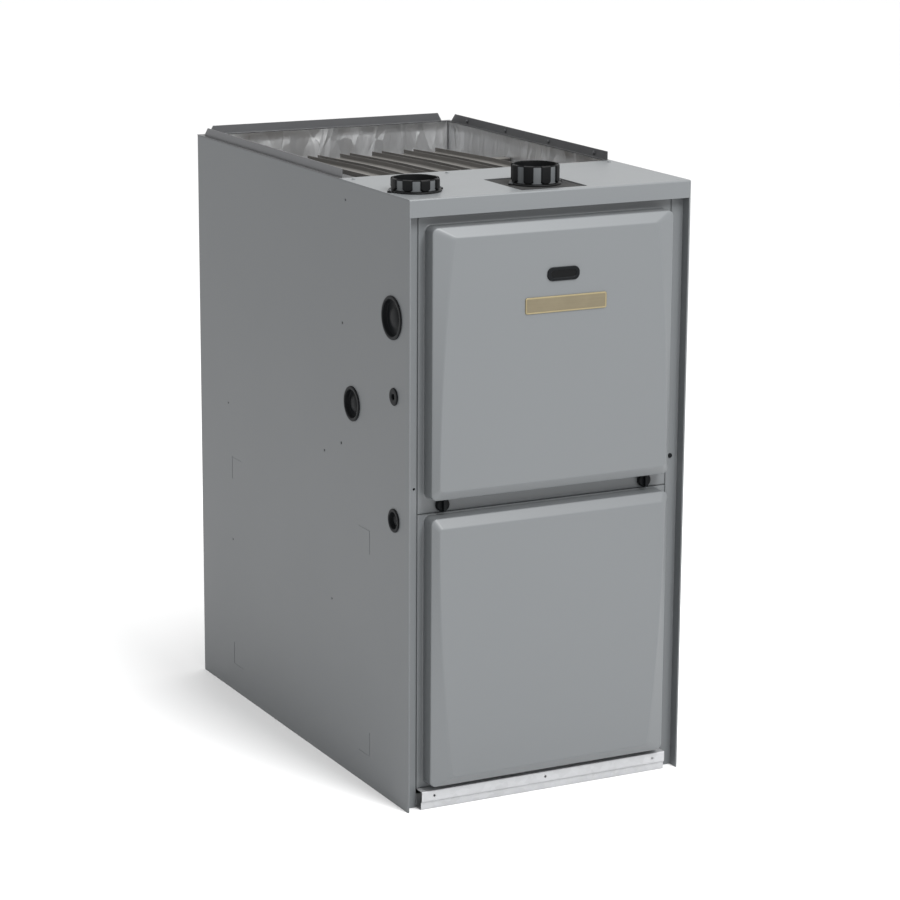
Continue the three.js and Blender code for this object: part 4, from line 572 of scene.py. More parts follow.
UP = (30.0, 30.0, 1.0)  # lines drawn out along z
LONG = (1.0, 30.0, 30.0)  # lines drawn out along x
# A darker copy of the grey that the cap, hems and doors wear: painted shade on the side walls and
# the cross rail.
shaded_cabinet_paint = finish("shaded_cabinet_paint", "525557", 0.46, 0.0, (5.0, 0.07), (420.0, 0.022),
                       worn=("7c8082", 0.3, 40.0), dust=("73716d", 0.14))
door_paint = finish("door_paint", "606365", 0.42, 0.0, (4.0, 0.05), (420.0, 0.02),
                    worn=("878b8d", 0.35, 40.0), dust=("7e7c78", 0.12))
zinc_sheet = finish("zinc_sheet", "b4b6b8", 0.34, 0.85, (6.0, 0.12), (300.0, 0.01),
                    worn=("d8dadb", 0.5, 60.0), spangle=(95.0, 0.22), dust=("8f8b83", 0.25))
rail_zinc = finish("rail_zinc", "a8a9ab", 0.4, 0.4, (9.0, 0.1), (300.0, 0.01),
                   worn=("e4e5e6", 0.5, 60.0), spangle=(110.0, 0.12), brushed=(14.0, 0.08, LONG))
collar_steel = finish("collar_steel", "58595b", 0.44, 0.5, (12.0, 0.2), (300.0, 0.02),
                      worn=("8d8f91", 0.6, 70.0), dust=("77736c", 0.3))
dark_steel = finish("dark_steel", "4f5153", 0.42, 0.75, (14.0, 0.2), (300.0, 0.02),
                    worn=("8f9193", 0.7, 80.0), brushed=(20.0, 0.15, LONG))
bright_foil = finish("bright_foil", "dcddde", 0.3, 0.9, (9.0, 0.16), (600.0, 0.01),
                     crumple=(30.0, 0.6), dust=("96918a", 0.12))
dulled_steel = finish("dulled_steel", "6b655f", 0.46, 0.6, (9.0, 0.35), (260.0, 0.03),
                      worn=("9a958d", 0.6, 50.0), patches=("54483e", 7.0), dust=("8b857c", 0.35))
slat_steel = finish("slat_steel", "5c5a57", 0.5, 0.4, (9.0, 0.3), (260.0, 0.03),
                    worn=("7e7b77", 0.5, 50.0), dust=("706d68", 0.25))
coil_fins = finish("coil_fins", "b6b8ba", 0.32, 0.9, (12.0, 0.12), (300.0, 0.01),
                   worn=("dcdddd", 0.5, 90.0), dust=("8f8b84", 0.3))
copper_tube = finish("copper_tube", "a5603c", 0.3, 0.95, (16.0, 0.25), (200.0, 0.01),
                     worn=("d08c63", 0.5, 80.0))
cast_metal = finish("cast_metal", "9ea0a2", 0.5, 0.8, (30.0, 0.15), (900.0, 0.06),
                    worn=("c9cbcc", 0.6, 90.0))
black_plastic = finish("black_plastic", "0d0f11", 0.5, 0.0, (20.0, 0.3), (1200.0, 0.03),
                       worn=("2e3134", 0.4, 60.0), dust=("3a3936", 0.12), specular=0.1)
black_rubber = finish("black_rubber", "0c0d0e", 0.48, 0.0, (24.0, 0.35), (900.0, 0.04),
                      worn=("2e3032", 0.4, 60.0), dust=("33322f", 0.1), specular=0.12)
# A lighter grey for the sleeve between a coupling's lobes: a painted highlight where light reaches
# the gaps.
sleeve_painted_highlight = finish("sleeve_painted_highlight", "4d5052", 0.5, 0.0, (30.0, 0.2), (700.0, 0.03),
                     worn=("686b6d", 0.4, 60.0))
foam_gasket = finish("foam_gasket", "1b1c1e", 0.85, 0.0, (40.0, 0.4), (700.0, 0.25),
                     dust=("5c5a56", 0.25), specular=0.2)
white_pipe = finish("white_pipe", "dcdad2", 0.36, 0.0, (10.0, 0.06), (300.0, 0.01),
                    worn=("f0efe9", 0.4, 50.0), dust=("a39f96", 0.25))
board_green = finish("board_green", "24523a", 0.4, 0.0, (60.0, 0.25), (1500.0, 0.03),
                     worn=("b9a15c", 0.8, 200.0), coat=0.3)
relay_black = finish("relay_black", "1d1f22", 0.35, 0.0, (50.0, 0.2), (1400.0, 0.02),
                     worn=("4b4e52", 0.5, 120.0))
terminal_white = finish("terminal_white", "cfccc2", 0.48, 0.0, (40.0, 0.1), (900.0, 0.02),
                        worn=("e9e7df", 0.5, 100.0))
tab_brass = finish("tab_brass", "b0995c", 0.3, 0.95, (80.0, 0.2), (900.0, 0.02),
                   worn=("dccb93", 0.6, 120.0))
ceramic_white = finish("ceramic_white", "d3cfc2", 0.6, 0.0, (40.0, 0.12), (900.0, 0.04),
                       worn=("eceae2", 0.4, 100.0), patches=("a89c88", 40.0))
switch_beige = finish("switch_beige", "c4bda9", 0.5, 0.0, (40.0, 0.1), (900.0, 0.02),
                      worn=("dfdac9", 0.5, 100.0))
red_plastic = finish("red_plastic", "9d241c", 0.36, 0.0, (60.0, 0.15), (900.0, 0.02),
                     worn=("c9584f", 0.5, 100.0))
winding_tape = finish("winding_tape", "b99552", 0.55, 0.0, (30.0, 0.2), (900.0, 0.04),
                      brushed=(60.0, 0.2, UP), worn=("d9bd82", 0.4, 90.0))
core_steel = finish("core_steel", "3b3d40", 0.45, 0.6, (30.0, 0.25), (800.0, 0.03),
                    brushed=(60.0, 0.3, LONG), worn=("77797b", 0.6, 90.0))
motor_paint = finish("motor_paint", "2c2e31", 0.4, 0.1, (14.0, 0.2), (700.0, 0.03),
                     worn=("7c7e80", 0.5, 60.0), dust=("6a6761", 0.3))
screw_zinc = finish("screw_zinc", "a8aaab", 0.35, 0.9, (120.0, 0.2), (900.0, 0.01),
                    worn=("dadcdd", 0.7, 150.0))
badge_bronze = finish("badge_bronze", "6d6552", 0.42, 0.5, (50.0, 0.25), (700.0, 0.02),
                      brushed=(26.0, 0.25, LONG), worn=("958b73", 0.7, 60.0))
badge_edge = finish("badge_edge", "8a7f62", 0.38, 0.7, (50.0, 0.15), (700.0, 0.01),
                    worn=("b3a98c", 0.7, 60.0))
sight_glass = finish("sight_glass", "040506", 0.3, 0.0, (30.0, 0.3), (300.0, 0.004),
                     specular=0.15)


# ---------------------------------------------------------------- camera, floor and light
def set_camera():
    """The camera stands to the front left, a little above, and is rolled slightly."""
    azimuth, elevation, roll = (math.radians(a) for a in (-27.19, 13.47, 0.34))
    back = Vector((math.sin(azimuth) * math.cos(elevation),
                   -math.cos(azimuth) * math.cos(elevation), math.sin(elevation)))
    right = (-back).cross(Vector((0, 0, 1))).normalized()
    up = right.cross(-back)
    right, up = (right * math.cos(roll) + up * math.sin(roll),
                 up * math.cos(roll) - right * math.sin(roll))
    lens = bpy.data.cameras.new("camera")
    lens.lens, lens.sensor_width = 118.88, 36.0
    lens.clip_end = 100.0
    camera = bpy.data.objects.new("camera", lens)
    turned = Matrix((right, up, back)).transposed().to_4x4()
    camera.matrix_world = Matrix.Translation((-1.9882, -3.9362, 1.4819)) @ turned
    bpy.context.scene.collection.objects.link(camera)
    bpy.context.scene.camera = camera


def set_floor():
    """A plain pale floor that reaches past the edge of the picture."""
    mesh = bpy.data.meshes.new("floor")
    reach = 40.0
    mesh.from_pydata([(-reach, -reach, 0), (reach, -reach, 0), (reach, reach, 0),
                      (-reach, reach, 0)], [], [(0, 1, 2, 3)])
    floor = bpy.data.objects.new("floor", mesh)
    bpy.context.scene.collection.objects.link(floor)
    paper = bpy.data.materials.new("floor_paper")
    paper.use_nodes = True
    shader = paper.node_tree.nodes["Principled BSDF"]
    shader.inputs["Base Color"].default_value = (0.93, 0.93, 0.93, 1)
    shader.inputs["Roughness"].default_value = 0.9
    shader.inputs["Specular IOR Level"].default_value = 0.1
    mesh.materials.append(paper)


def soft_light(name, place, target, size, power):
    """A rectangular soft light that points at a target. The power is in watts."""
    lamp = bpy.data.lights.new(name, "AREA")
    lamp.shape, lamp.size, lamp.size_y = "RECTANGLE", size[0], size[1]
    lamp.energy = power
    light = bpy.data.objects.new(name, lamp)
    light.location = place
    light.rotation_euler = (Vector(target) - Vector(place)).to_track_quat("-Z", "Y").to_euler()
    bpy.context.scene.collection.objects.link(light)


def set_lights():
    """An even white studio, a large key light in front and a weaker one overhead."""
    world = bpy.data.worlds.new("studio")
    world.use_nodes = True
    world.node_tree.nodes["Background"].inputs["Color"].default_value = (1, 1, 1, 1)
    world.node_tree.nodes["Background"].inputs["Strength"].default_value = 1.08
    bpy.context.scene.world = world
    soft_light("key", (0.45, -2.5, 2.9), (0.0, -0.2, 0.6), (1.1, 1.3), 108.0)
    soft_light("overhead", (0.3, -0.5, 3.2), (0.3, -0.5, 0.0), (0.9, 1.6), 32.0)
    bpy.context.scene.view_settings.view_transform = "Standard"


set_camera()
set_floor()
set_lights()


# ---------------------------------------------------------------- cabinet
def cabinet_body():
    """One sheet round both sides and the back, with all that is cut or pressed into it."""
    in_x = HALF_WIDTH - SKIN / 2
    line = [(in_x, FRONT), (in_x, BACK - SKIN / 2), (-in_x, BACK - SKIN / 2), (-in_x, FRONT)]
    form = Form()
    form.prism("z", folded(line, radius=2.0), 0, WALL_TOP)
    cuts = Form()
    cuts.block((-230, FRONT - 2, LIP_LOW - 0.3), (230, FRONT + 1.4, TOP + 2), edge=0)
    for node, radius in (("side_plug_upper", 28.3), ("side_plug_middle", 22.8),
                         ("side_grommet", 9.8), ("side_plug_lower", 14.3)):
        cuts.rod("x", centre_of(node, "x"), radius, -226, -218)
    pilot_holes(cuts)
    for y, z, radius in ((-310, 560, 22), (-310, 705, 22), (-328, 418, 11), (-300, 640, 11),
                         (-322, 250, 15), (-318, 340, 11)):
        groove(cuts, "x", HALF_WIDTH, -1, (y, z), radius)
    for side in SIDES:
        corner_marks(cuts, side)
    # The walls wear the darker copy of the paint: painted shade on the sides.
    form.make("cabinet_body", [shaded_cabinet_paint], "body_paint", replaces="cabinet_wrapper",
              cuts=cuts)


def pilot_holes(cuts):
    """Small pressed dimples in three walls, each with a pin set in its hole."""
    left = [(-159, 669.5, 1.9), (-154, 492.5, 2.1), (-96, 469, 1.9), (263, 468, 1.6),
            (-170, 848, 1.7), (-120, 250, 1.6), (250, 250, 1.6)]
    right = [(u, v, 1.8) for u, v in ((-170, 848), (-96, 469), (263, 468), (263, 700),
                                      (-120, 60), (300, 60), (100, 848), (330, 848))]
    back = [(u, v, 1.8) for u, v in ((-150, 60), (150, 60), (-150, 848), (150, 848), (0, 848),
                                     (0, 60), (-190, 440), (190, 440))]
    pins = Form()
    for axis, face, places in (("x", -HALF_WIDTH, left), ("x", HALF_WIDTH, right),
                               ("y", BACK, back)):
        out = math.copysign(1, face)
        for u, v, r in places:
            cuts.dimple(axis, (u, v), face, out, r)
            pins.lathe(axis, [(0, face - 0.55 * out), (r - 0.3, face - 0.55 * out),
                              (r + 0.1, face - 0.7 * out), (r + 0.1, face - 0.95 * out),
                              (0, face - 0.95 * out)], (u, v), steps=20)
    pins.make("pilot_hole_pins", [black_rubber], "rubber")


def front_hems():
    """The wall's front edges, doubled back on the inside and folded across beside the doors."""
    inside, hem_y = HALF_WIDTH - SKIN / 2 - 1.01, HEM_FACE + SKIN / 2
    turned_back = HEM_INNER + SKIN / 2
    hems = Form()
    for side in SIDES:
        leaf = [(side * inside, FRONT + 0.6), (side * inside, hem_y), (side * turned_back, hem_y),
                (side * turned_back, RETURN_REAR)]
        hems.prism("z", folded(leaf, radius=1.5), 0.4, WALL_TOP - 24)
        xs = sorted((side * (HALF_WIDTH - 2.05), side * (HALF_WIDTH - 0.02)))
        hems.block((xs[0], FRONT + 0.02, 0.2), (xs[1], FRONT + 1.6, LIP_LOW - 0.4), edge=0.5)
    plug = Form().lathe("y", [(0, HEM_FACE), (3.6, HEM_FACE), (3.4, HEM_FACE - 0.9),
                              (2.4, HEM_FACE - 1.4), (0, HEM_FACE - 1.4)], (208, 473), steps=24)
    plug.make("hem_plug", [black_plastic], "black_plastic")
    hole = Form().rod("y", (-206, 468), 1.9, HEM_FACE - 1, HEM_FACE + 3, steps=20)
    # The hems wear the lighter door paint, not the walls' darker copy: a painted highlight on hems
    # that stand in a recess.
    hems.make("front_hems", [door_paint], "body_paint", cuts=hole)


def groove(form, axis, face, inward, centre, radius, width=1.2, depth=0.4):
    """A ring pressed round a knock-out."""
    out, deep = face - inward * 1.0, face + inward * depth
    form.lathe(axis, [(radius, out), (radius, deep), (radius + width, deep),
                      (radius + width, out)], centre, steps=40, closed=True)


def corner_marks(form, side):
    """Four pressed corners that mark where a return duct may be cut in."""
    xs = sorted((side * (HALF_WIDTH - 0.35), side * (HALF_WIDTH + 1)))
    corner = [(0, 0), (36, 0), (36, 1.6), (1.6, 1.6), (1.6, 36), (0, 36)]
    for y, sy in ((-250, 1), (250, -1)):
        for z, sz in ((45, 1), (385, -1)):
            form.prism("x", [(sy * u, sz * v) for u, v in corner], xs[0], xs[1], centre=(y, z))


def cap():
    """The front part of the top, with its lip over the doors and a skirt at the rear."""
    line = [(FRONT + 0.5, LIP_LOW), (FRONT + 0.5, TOP - 0.5), (CAP_REAR, TOP - 0.5)]
    rear_screws = [(-208, -168), (208, -168), (110, -168), (-60, -168)]
    form = Form()
    form.prism("x", folded(line, radius=2.2, steps=6), -HALF_WIDTH, HALF_WIDTH)
    skirt = HALF_WIDTH - 1.3
    form.block((-skirt, CAP_REAR - 2, 861), (skirt, CAP_REAR - 1, TOP - 0.6), edge=0.2)
    cuts = Form()
    cuts.rod("z", (EXHAUST_X, VENT_Y), 32.3, 860, 880, steps=48)
    cuts.prism("z", rounded_rectangle(52.5, 57.5, 3), 870, 880, centre=(INTAKE_X, VENT_Y))
    for x, y in [(-208, -362), (208, -362)] + rear_screws:
        cuts.lathe("z", [(0, TOP + 2), (4.2, TOP + 2), (4.2, TOP), (2.4, TOP - 0.55),
                         (0, TOP - 0.55)], (x, y), steps=20)
    # The cap and its screws wear the lighter door paint, not the walls' darker copy: painted light
    # on the top.
    form.make("cap", [door_paint], "body_paint", replaces="top_cap", cuts=cuts)
    screws = Form()
    for x, y in rear_screws:
        screws.screw("z", (x, y), TOP - 0.5, 1, radius=3.8)
    screws.make("cap_screws", [door_paint], "body_paint")


def collar():
    """The flanges round the supply opening, with rivets on the inside of two of them."""
    form = Form("supply_collar").soften_all(0.3)
    form.make("collar", [collar_steel], "dark_steel", replaces="supply_collar")
    rivets = Form()
    for y in (-110, 30, 170, 300):
        for side in SIDES:
            rivets.lathe("x", [(0, side * 215.2), (3.2, side * 215.2), (2.6, side * 214.4),
                               (0, side * 214.0)], (y, 882), steps=16)
    rivets.make("collar_rivets", [dark_steel], "dark_steel")


def rail():
    """The silver strip below the lower door: a folded channel with a step half way up."""
    line = [(-357.0, 0.5), (FRONT + 3.5, 0.5), (FRONT + 3.5, 11.0), (FRONT + 0.5, 13.0),
            (FRONT + 0.5, 27.5), (-357.0, 27.5)]
    form = Form()
    form.prism("x", folded(line, radius=1.4), -200, 200)
    cuts = Form()
    for x in (-180, 180, 0):
        cuts.dimple("y", (x, 20), FRONT, -1, 1.8, wide=3.2)
    form.make("rail", [rail_zinc], "galvanised_steel", replaces="base_rail", cuts=cuts)


def inner_sheets():
    """Inner sheets whose CAD shape is right, with eased edges."""
    for node in ("base_pan", "blower_deck", "vestibule_panel", "control_tray", "burner_box",
                 "burner_box_cover", "motor_mount", "blower_housing"):
        Form(node).soften_all(0.25, 1).make(node + "_sheet", [zinc_sheet], "galvanised_steel",
                                            replaces=node)
    # The cross rail wears the darker copy of the paint as well: painted shade.
    Form("cross_rail").soften_all(0.25, 1).make("cross_rail_sheet", [shaded_cabinet_paint],
                                                "body_paint", replaces="cross_rail")
    Form("rear_header").soften_all(0.25, 1).make("rear_header_box", [dulled_steel],
                                                 "aluminised_steel", replaces="rear_header")


def inner_screws():
    """Screws on the cross rail, burner box, control tray, inner panel and blower housing."""
    seats = (((-205, -160, 0, 150, 205), (458,), -345.7, 4.2),  # cross rail
             ((-130, -60, 60, 120), (729, 809), -334.9, 4.2),  # burner box cover
             ((-140, 140), (290, 388), -305.0, 4.2),  # control tray
             ((-200, -150, 60, 150, 200), (690, 862), -153.3, 4.2),  # inner panel
             ((-60, 60), (60, 200), -150.0, 3.0),  # blower housing
             ((-60, 60), (340,), -148.0, 3.0))
    screws = Form()
    for xs, zs, seat, radius in seats:
        for x, z in ((x, z) for x in xs for z in zs):
            screws.screw("y", (x, z), seat, -1, radius=radius)
    screws.make("inner_screws", [screw_zinc], "galvanised_steel")


def foil_lining(wall):
    """A mat whose foil face is creased, with long slack folds from top to bottom."""
    node = "foil_liner_" + wall
    low, high = span(node)
    high.z = WALL_TOP - 0.5
    step = 5.0
    thickness = 6.0
    if wall == "back":
        us, depth, deep = (low.x, high.x), low.y, 1
    else:
        us = (low.y, high.y)
        depth, deep = (high.x, -1) if wall == "left" else (low.x, 1)
    columns = int((us[1] - us[0]) / step)
    rows = int((high.z - low.z) / step)
    seed = {"back": 3.0, "left": 31.0, "right": 57.0}[wall]

    def slack(u, z):
        fold = noise.noise(Vector((u / 30 + 0.3 * math.sin(z / 60), z / 240, seed)))
        bend = noise.noise(Vector((u / 55, z / 90, seed + 9)))
        crease = noise.voronoi(Vector((u / 34, z / 110, seed)))[0]
        return 2.2 + 2.6 * fold + 1.0 * bend + 1.6 * (crease[1] - crease[0])

    def at(u, z, into):
        w = depth + deep * into
        return (u, w, z) if wall == "back" else (w, u, z)

    points = []
    for r in range(rows + 1):
        z = low.z + (high.z - low.z) * r / rows
        for c in range(columns + 1):
            u = us[0] + (us[1] - us[0]) * c / columns
            border = min(r, rows - r, c, columns - c) / 2
            into = max(0.05, min(5.0, slack(u, z))) * min(1.0, border) + 0.05
            points.append(at(u, z, into))
    wide = columns + 1
    faces = [(r * wide + c, r * wide + c + 1, (r + 1) * wide + c + 1, (r + 1) * wide + c)
             for r in range(rows) for c in range(columns)]
    rim = ([c for c in range(columns)] + [r * wide + columns for r in range(rows)]
           + [rows * wide + c for c in range(columns, 0, -1)]
           + [r * wide for r in range(rows, 0, -1)])
    first = len(points)
    for i in rim:
        x, y, z = points[i]
        points.append(at(x if wall == "back" else y, z, thickness))
    count = len(rim)
    faces += [(rim[i], rim[(i + 1) % count], first + (i + 1) % count, first + i)
              for i in range(count)]
    faces.append([first + i for i in range(count)][::-1])
    form = Form()
    form.shell(points, faces)
    form.make("foil_lining_" + wall, [bright_foil], "foil_lining", replaces=node, sharp=60)


# ---------------------------------------------------------------- doors
def door_outline(low, high, half_width, corner, corner_steps=8, side_steps=26):
    """Points of a panel's outline, counter-clockwise seen from the front."""
    points = []

    def arc(side_x, side_z, start):
        z = high if side_z > 0 else low
        for i in range(corner_steps + 1):
            angle = start + math.pi / 2 * i / corner_steps
            points.append((side_x * (half_width(z) - corner) + corner * math.cos(angle),
                           z - side_z * corner + corner * math.sin(angle)))

    def upright(side_x, start, end):
        for i in range(1, side_steps):
            z = start + (end - start) * i / side_steps
            points.append((side_x * half_width(z), z))

    arc(1, -1, -math.pi / 2)
    upright(1, low + corner, high - corner)
    arc(1, 1, 0)
    arc(-1, 1, math.pi / 2)
    upright(-1, high - corner, low + corner)
    arc(-1, -1, math.pi)
    return points


def bend(before, corner, after, steps=5):
    """A rounded fold between two straight runs of the door's section."""
    out = []
    for i in range(steps + 1):
        t = i / steps
        out.append(tuple((1 - t) ** 2 * a + 2 * t * (1 - t) * b + t * t * c
                         for a, b, c in zip(before, corner, after)))
    return out


def pressed_door(name, node, door, body, cuts=None):
    """A door pressed from one sheet: return, flange, steep wall, bevel and flat face."""
    panel_low, panel_high = door["low"] + door["low_flange"], door["high"] - door["high_flange"]
    face_low, face_high = panel_low + BEVEL, panel_high - BEVEL
    waist = face_low if door["waist"] == "low" else face_high
    outlines = [
        door_outline(door["low"], door["high"], lambda z: DOOR_HALF, 1.5),
        door_outline(panel_low, panel_high, lambda z: PANEL_HALF, PANEL_CORNER),
        door_outline(face_low, face_high, lambda z: PANEL_HALF - WAIST_INSET
                     - WAIST_FALL * (z - waist) ** 2, FACE_CORNER),
    ]
    section = [(0.0, RETURN_REAR)]
    section += bend((0.0, HEM_FACE + 1.8), (0.0, HEM_FACE), (0.16, HEM_FACE))
    section += bend((0.8, HEM_FACE), (1.0, HEM_FACE), (1.0, HEM_FACE - 2.2))
    section += bend((1.0, SHOULDER + 1.3), (1.0, SHOULDER), (1.1, SHOULDER - 0.9), 5)
    section += bend((1.85, SHOULDER - 7.65), (2.0, DOOR_FACE), (2.1, DOOR_FACE), 6)
    count = len(outlines[0])
    face_middle = (face_low + face_high) / 2
    points = []
    for share, y in section:
        for k in range(count):
            if share <= 2:
                before = min(int(share), 1)
                one, two = outlines[before][k], outlines[before + 1][k]
                t = share - before
                x, z = one[0] + (two[0] - one[0]) * t, one[1] + (two[1] - one[1]) * t
            else:
                x, z = outlines[2][k]
                reach = (share - 2) * BEVEL
                at_corner = min(abs(z - face_low), abs(z - face_high)) <= FACE_CORNER
                x -= math.copysign(reach, x)
                z += math.copysign(reach, face_middle - z) if at_corner else 0.0
            points.append((x, y, z))
    starts = range(0, len(points), count)
    form = Form()
    form.shell(points, bands(starts, count) + [list(range(starts[-1], len(points)))])
    for face in form.mesh.faces:  # the folds and the bevel wear a little
        flat = abs(face.normal.y) > 0.97 or abs(face.normal.y) < 0.03
        if len(face.verts) == 4 and not flat and face.calc_center_median().y < HEM_FACE + 3:
            face[form.edge] = 0.35
    form.make(name, [door_paint], "door_paint", body, replaces=node, cuts=cuts, sharp=40,
              sheet=SKIN)


def doors():
    """Both doors. The upper one is cut for the knobs' shafts and the sight window."""
    cuts = Form()
    for side in SIDES:
        cuts.rod("y", (side * KNOB_X, KNOB_Z), 3.3, -361, -354, steps=24)
    cuts.prism("y", rounded_rectangle(22, 6.6, 6.59, 8), -394, -388, centre=WINDOW)
    pressed_door("pressed_upper_door", "upper_door", UPPER, "upper_door", cuts)
    pressed_door("pressed_lower_door", "lower_door", LOWER, "lower_door")


def window():
    """An oblong sight window: a rounded rim with a dark glass set back in it."""
    form = Form()
    outer = rounded_rectangle(25.5, 9.6, 8.6, 10)
    inner = rounded_rectangle(20.5, 5.4, 5.39, 10)
    throat = rounded_rectangle(19.8, 4.8, 4.79, 10)
    face = DOOR_FACE
    rings = [(outer, face - 0.3), (outer, face - 1.5),
             (rounded_rectangle(24.8, 8.9, 7.9, 10), face - 2.2),
             (rounded_rectangle(21.6, 6.4, 6.39, 10), face - 2.2), (inner, face - 1.6),
             (throat, face - 0.6)]
    glass = form.stack("y", rings, WINDOW)[-1]
    glass.material_index = 1
    form.prism("y", rounded_rectangle(21.7, 6.3, 6.29, 8), face - 0.2, face + 5.0, centre=WINDOW,
               edge=0.3)
    form.make("window", [black_plastic, sight_glass], "black_plastic", "upper_door",
              replaces="sight_window")


def knob(side):
    """A quarter-turn latch: a disc, a waisted grip across it and a shaft."""
    hand = "left" if side < 0 else "right"
    name = "latch_knob_" + hand
    centre = (side * KNOB_X, KNOB_Z)
    base, face = HEM_FACE - 0.3, HEM_FACE - 7.3
    form = Form()
    form.lathe("y", [(0, base), (9.6, base), (10, base - 0.5), (10, face + 2.2), (9.6, face + 1.0),
                     (8.6, face + 0.2), (7.4, face), (0, face)], centre, steps=40)
    grip = [((2.3 + 0.7 * v * v) * math.copysign(abs(u) ** 0.5, u),
             8.5 * math.copysign(abs(v) ** 0.8, v)) for u, v in around(1.0, 40)]
    form.prism("y", grip, face + 0.6, face - 4.9, edge=0.9, steps=3, centre=centre)
    form.lathe("y", [(0, base + 0.5), (3, base + 0.5), (3, base + 18.6), (2.2, base + 19.6),
                     (0, base + 19.6)], centre, steps=20)
    form.make(name + "_moulded", [black_plastic], "black_plastic", hand + "_knob", replaces=name)


def badge():
    """A bare plate where a maker would put one: a brushed field inside a raised bright edge."""
    face = DOOR_FACE
    form = Form()
    outline = rounded_rectangle(64.5, 11.5, 3.0, 6)
    rings = [(outline, face + 0.2), (outline, face - 1.1),
             (rounded_rectangle(64.0, 11.0, 2.7, 6), face - 1.6),
             (rounded_rectangle(62.9, 9.9, 2.0, 6), face - 1.6),
             (rounded_rectangle(62.3, 9.3, 1.6, 6), face - 0.9)]
    for edge in form.stack("y", rings, BADGE)[:-1]:
        edge.material_index = 1
    form.make("bare_badge_plate", [badge_bronze, badge_edge], "dark_steel", "upper_door")


# ---------------------------------------------------------------- top and side openings
def lobe_rise(arc, z, low, half=7.9, corner=4.6, lift=2.5):
    """How far a lobe stands out at a place: a tab with a round lower end and eased sides."""
    du = max(0.0, abs(arc) - (half - corner))
    dz = max(0.0, low + corner - z)
    inside = min(corner - math.hypot(du, dz), half - abs(arc), z - low)
    share = min(1.0, max(0.0, inside / 1.1))
    return lift * share * share * (3 - 2 * share)


def vent_coupling(name, node, x, seat, top):
    """A black rubber coupling: eight clamping lobes round a sleeve, on an eared flange."""
    lobes, per = 8, 26
    total = lobes * per
    valley = 31.9  # radius between the lobes
    heights = [seat + 0.4, seat + 2.8] + [seat + 3.0 + 0.55 * i for i in range(12)]
    rings = [(z, 0.0) for z in heights + [top - 2.0]] + [(top - 0.9, 0.3), (top - 0.2, 1.0)]
    bore = ((30.95, top), (30.8, top - 0.4), (30.3, top - 1.4), (30.3, 862.0), (valley, 862.0))
    points = []
    for z, inset in rings:
        for k, (u, v) in enumerate(around(1.0, total, math.pi / lobes)):
            arc = ((k % per + 0.5) / per - 0.5) * 2 * math.pi / lobes * 34
            r = valley + lobe_rise(arc, z, seat + 3.0) - inset
            points.append((x + r * u, VENT_Y + r * v, z))
    for r, z in bore:
        points += [(*at, z) for at in around(r, total, math.pi / lobes, (x, VENT_Y))]
    form = Form()
    _, made = form.shell(points, bands(range(0, len(points), total), total, closed=True))
    # The sleeve's faces between the lobes take the lighter grey: a painted highlight in the gaps.
    for face in made:
        centre = face.calc_center_median()
        reach = math.hypot(centre.x - x, centre.y - VENT_Y)
        if seat + 3.2 < centre.z < top - 4.2 and valley - 0.4 < reach < valley + 0.2:
            face.material_index = 2
    form.lathe("z", [(32.2, seat), (36.2, seat), (37, seat + 0.6), (37, seat + 1.7),
                     (36.2, seat + 2.4), (33.4, seat + 2.6), (32.2, seat + 2.6)],
               (x, VENT_Y), steps=64, closed=True)
    for side in SIDES:
        ear = (x + side * 38.0, VENT_Y)
        form.lathe("z", [(0, seat), (4.3, seat), (4.5, seat + 0.5), (4.5, seat + 1.6),
                         (4.0, seat + 2.3), (0, seat + 2.3)], ear, steps=24)
        form.screw("z", ear, seat + 2.2, 1, finish=1, radius=3.1)
    form.make(name, [black_rubber, dark_steel, sleeve_painted_highlight], "rubber", replaces=node)


def vents():
    """Both couplings, the black plate under one of them and the pipes below."""
    vent_coupling("exhaust_vent_coupling", "exhaust_coupling", EXHAUST_X, 876.3, 895.0)
    vent_coupling("intake_vent_coupling", "intake_coupling", INTAKE_X, 875.0, 903.0)
    Form("vent_gasket_plate").soften_all(0.3, 1).make("gasket_plate", [foam_gasket], "rubber",
                                                      replaces="vent_gasket_plate")
    for node in ("flue_pipe", "intake_pipe"):
        Form(node).make(node + "_plastic", [white_pipe], "white_pipe", replaces=node, sharp=60)


def side_plugs():
    """Dished plugs snapped into the left wall, and one grommet with a hole through it."""
    face = -HALF_WIDTH - 0.3
    for node in ("side_plug_upper", "side_plug_middle", "side_grommet", "side_plug_lower"):
        low, high = span(node)
        radius = (high.y - low.y) / 2
        rim = [(radius - 1.6, face - 2.0), (radius - 0.4, face - 1.5), (radius, face - 0.8),
               (radius - 0.2, face), (radius - 3, face), (radius - 3, face + 7.5),
               (radius - 2.6, face + 8.3), (radius - 3.6, face + 9)]
        form = Form()
        if node == "side_grommet":
            hole = radius * 0.35
            form.lathe("x", [(hole, face - 1.0), (hole + 1, face - 1.8)] + rim
                       + [(hole, face + 9)], centre_of(node, "x"), steps=48, closed=True)
        else:
            dish = [(0, face + 1.6), (radius * 0.3, face + 2.0), (radius * 0.46, face + 3.4),
                    (radius * 0.52, face + 5.2), (radius - 6.6, face + 5.4),
                    (radius - 5.4, face + 4.2), (radius - 4.9, face - 1.2),
                    (radius - 4.2, face - 1.9)]
            form.lathe("x", dish + rim + [(0, face + 9)], centre_of(node, "x"), steps=64)
        form.make(node + "_moulded", [black_plastic], "black_plastic", replaces=node)


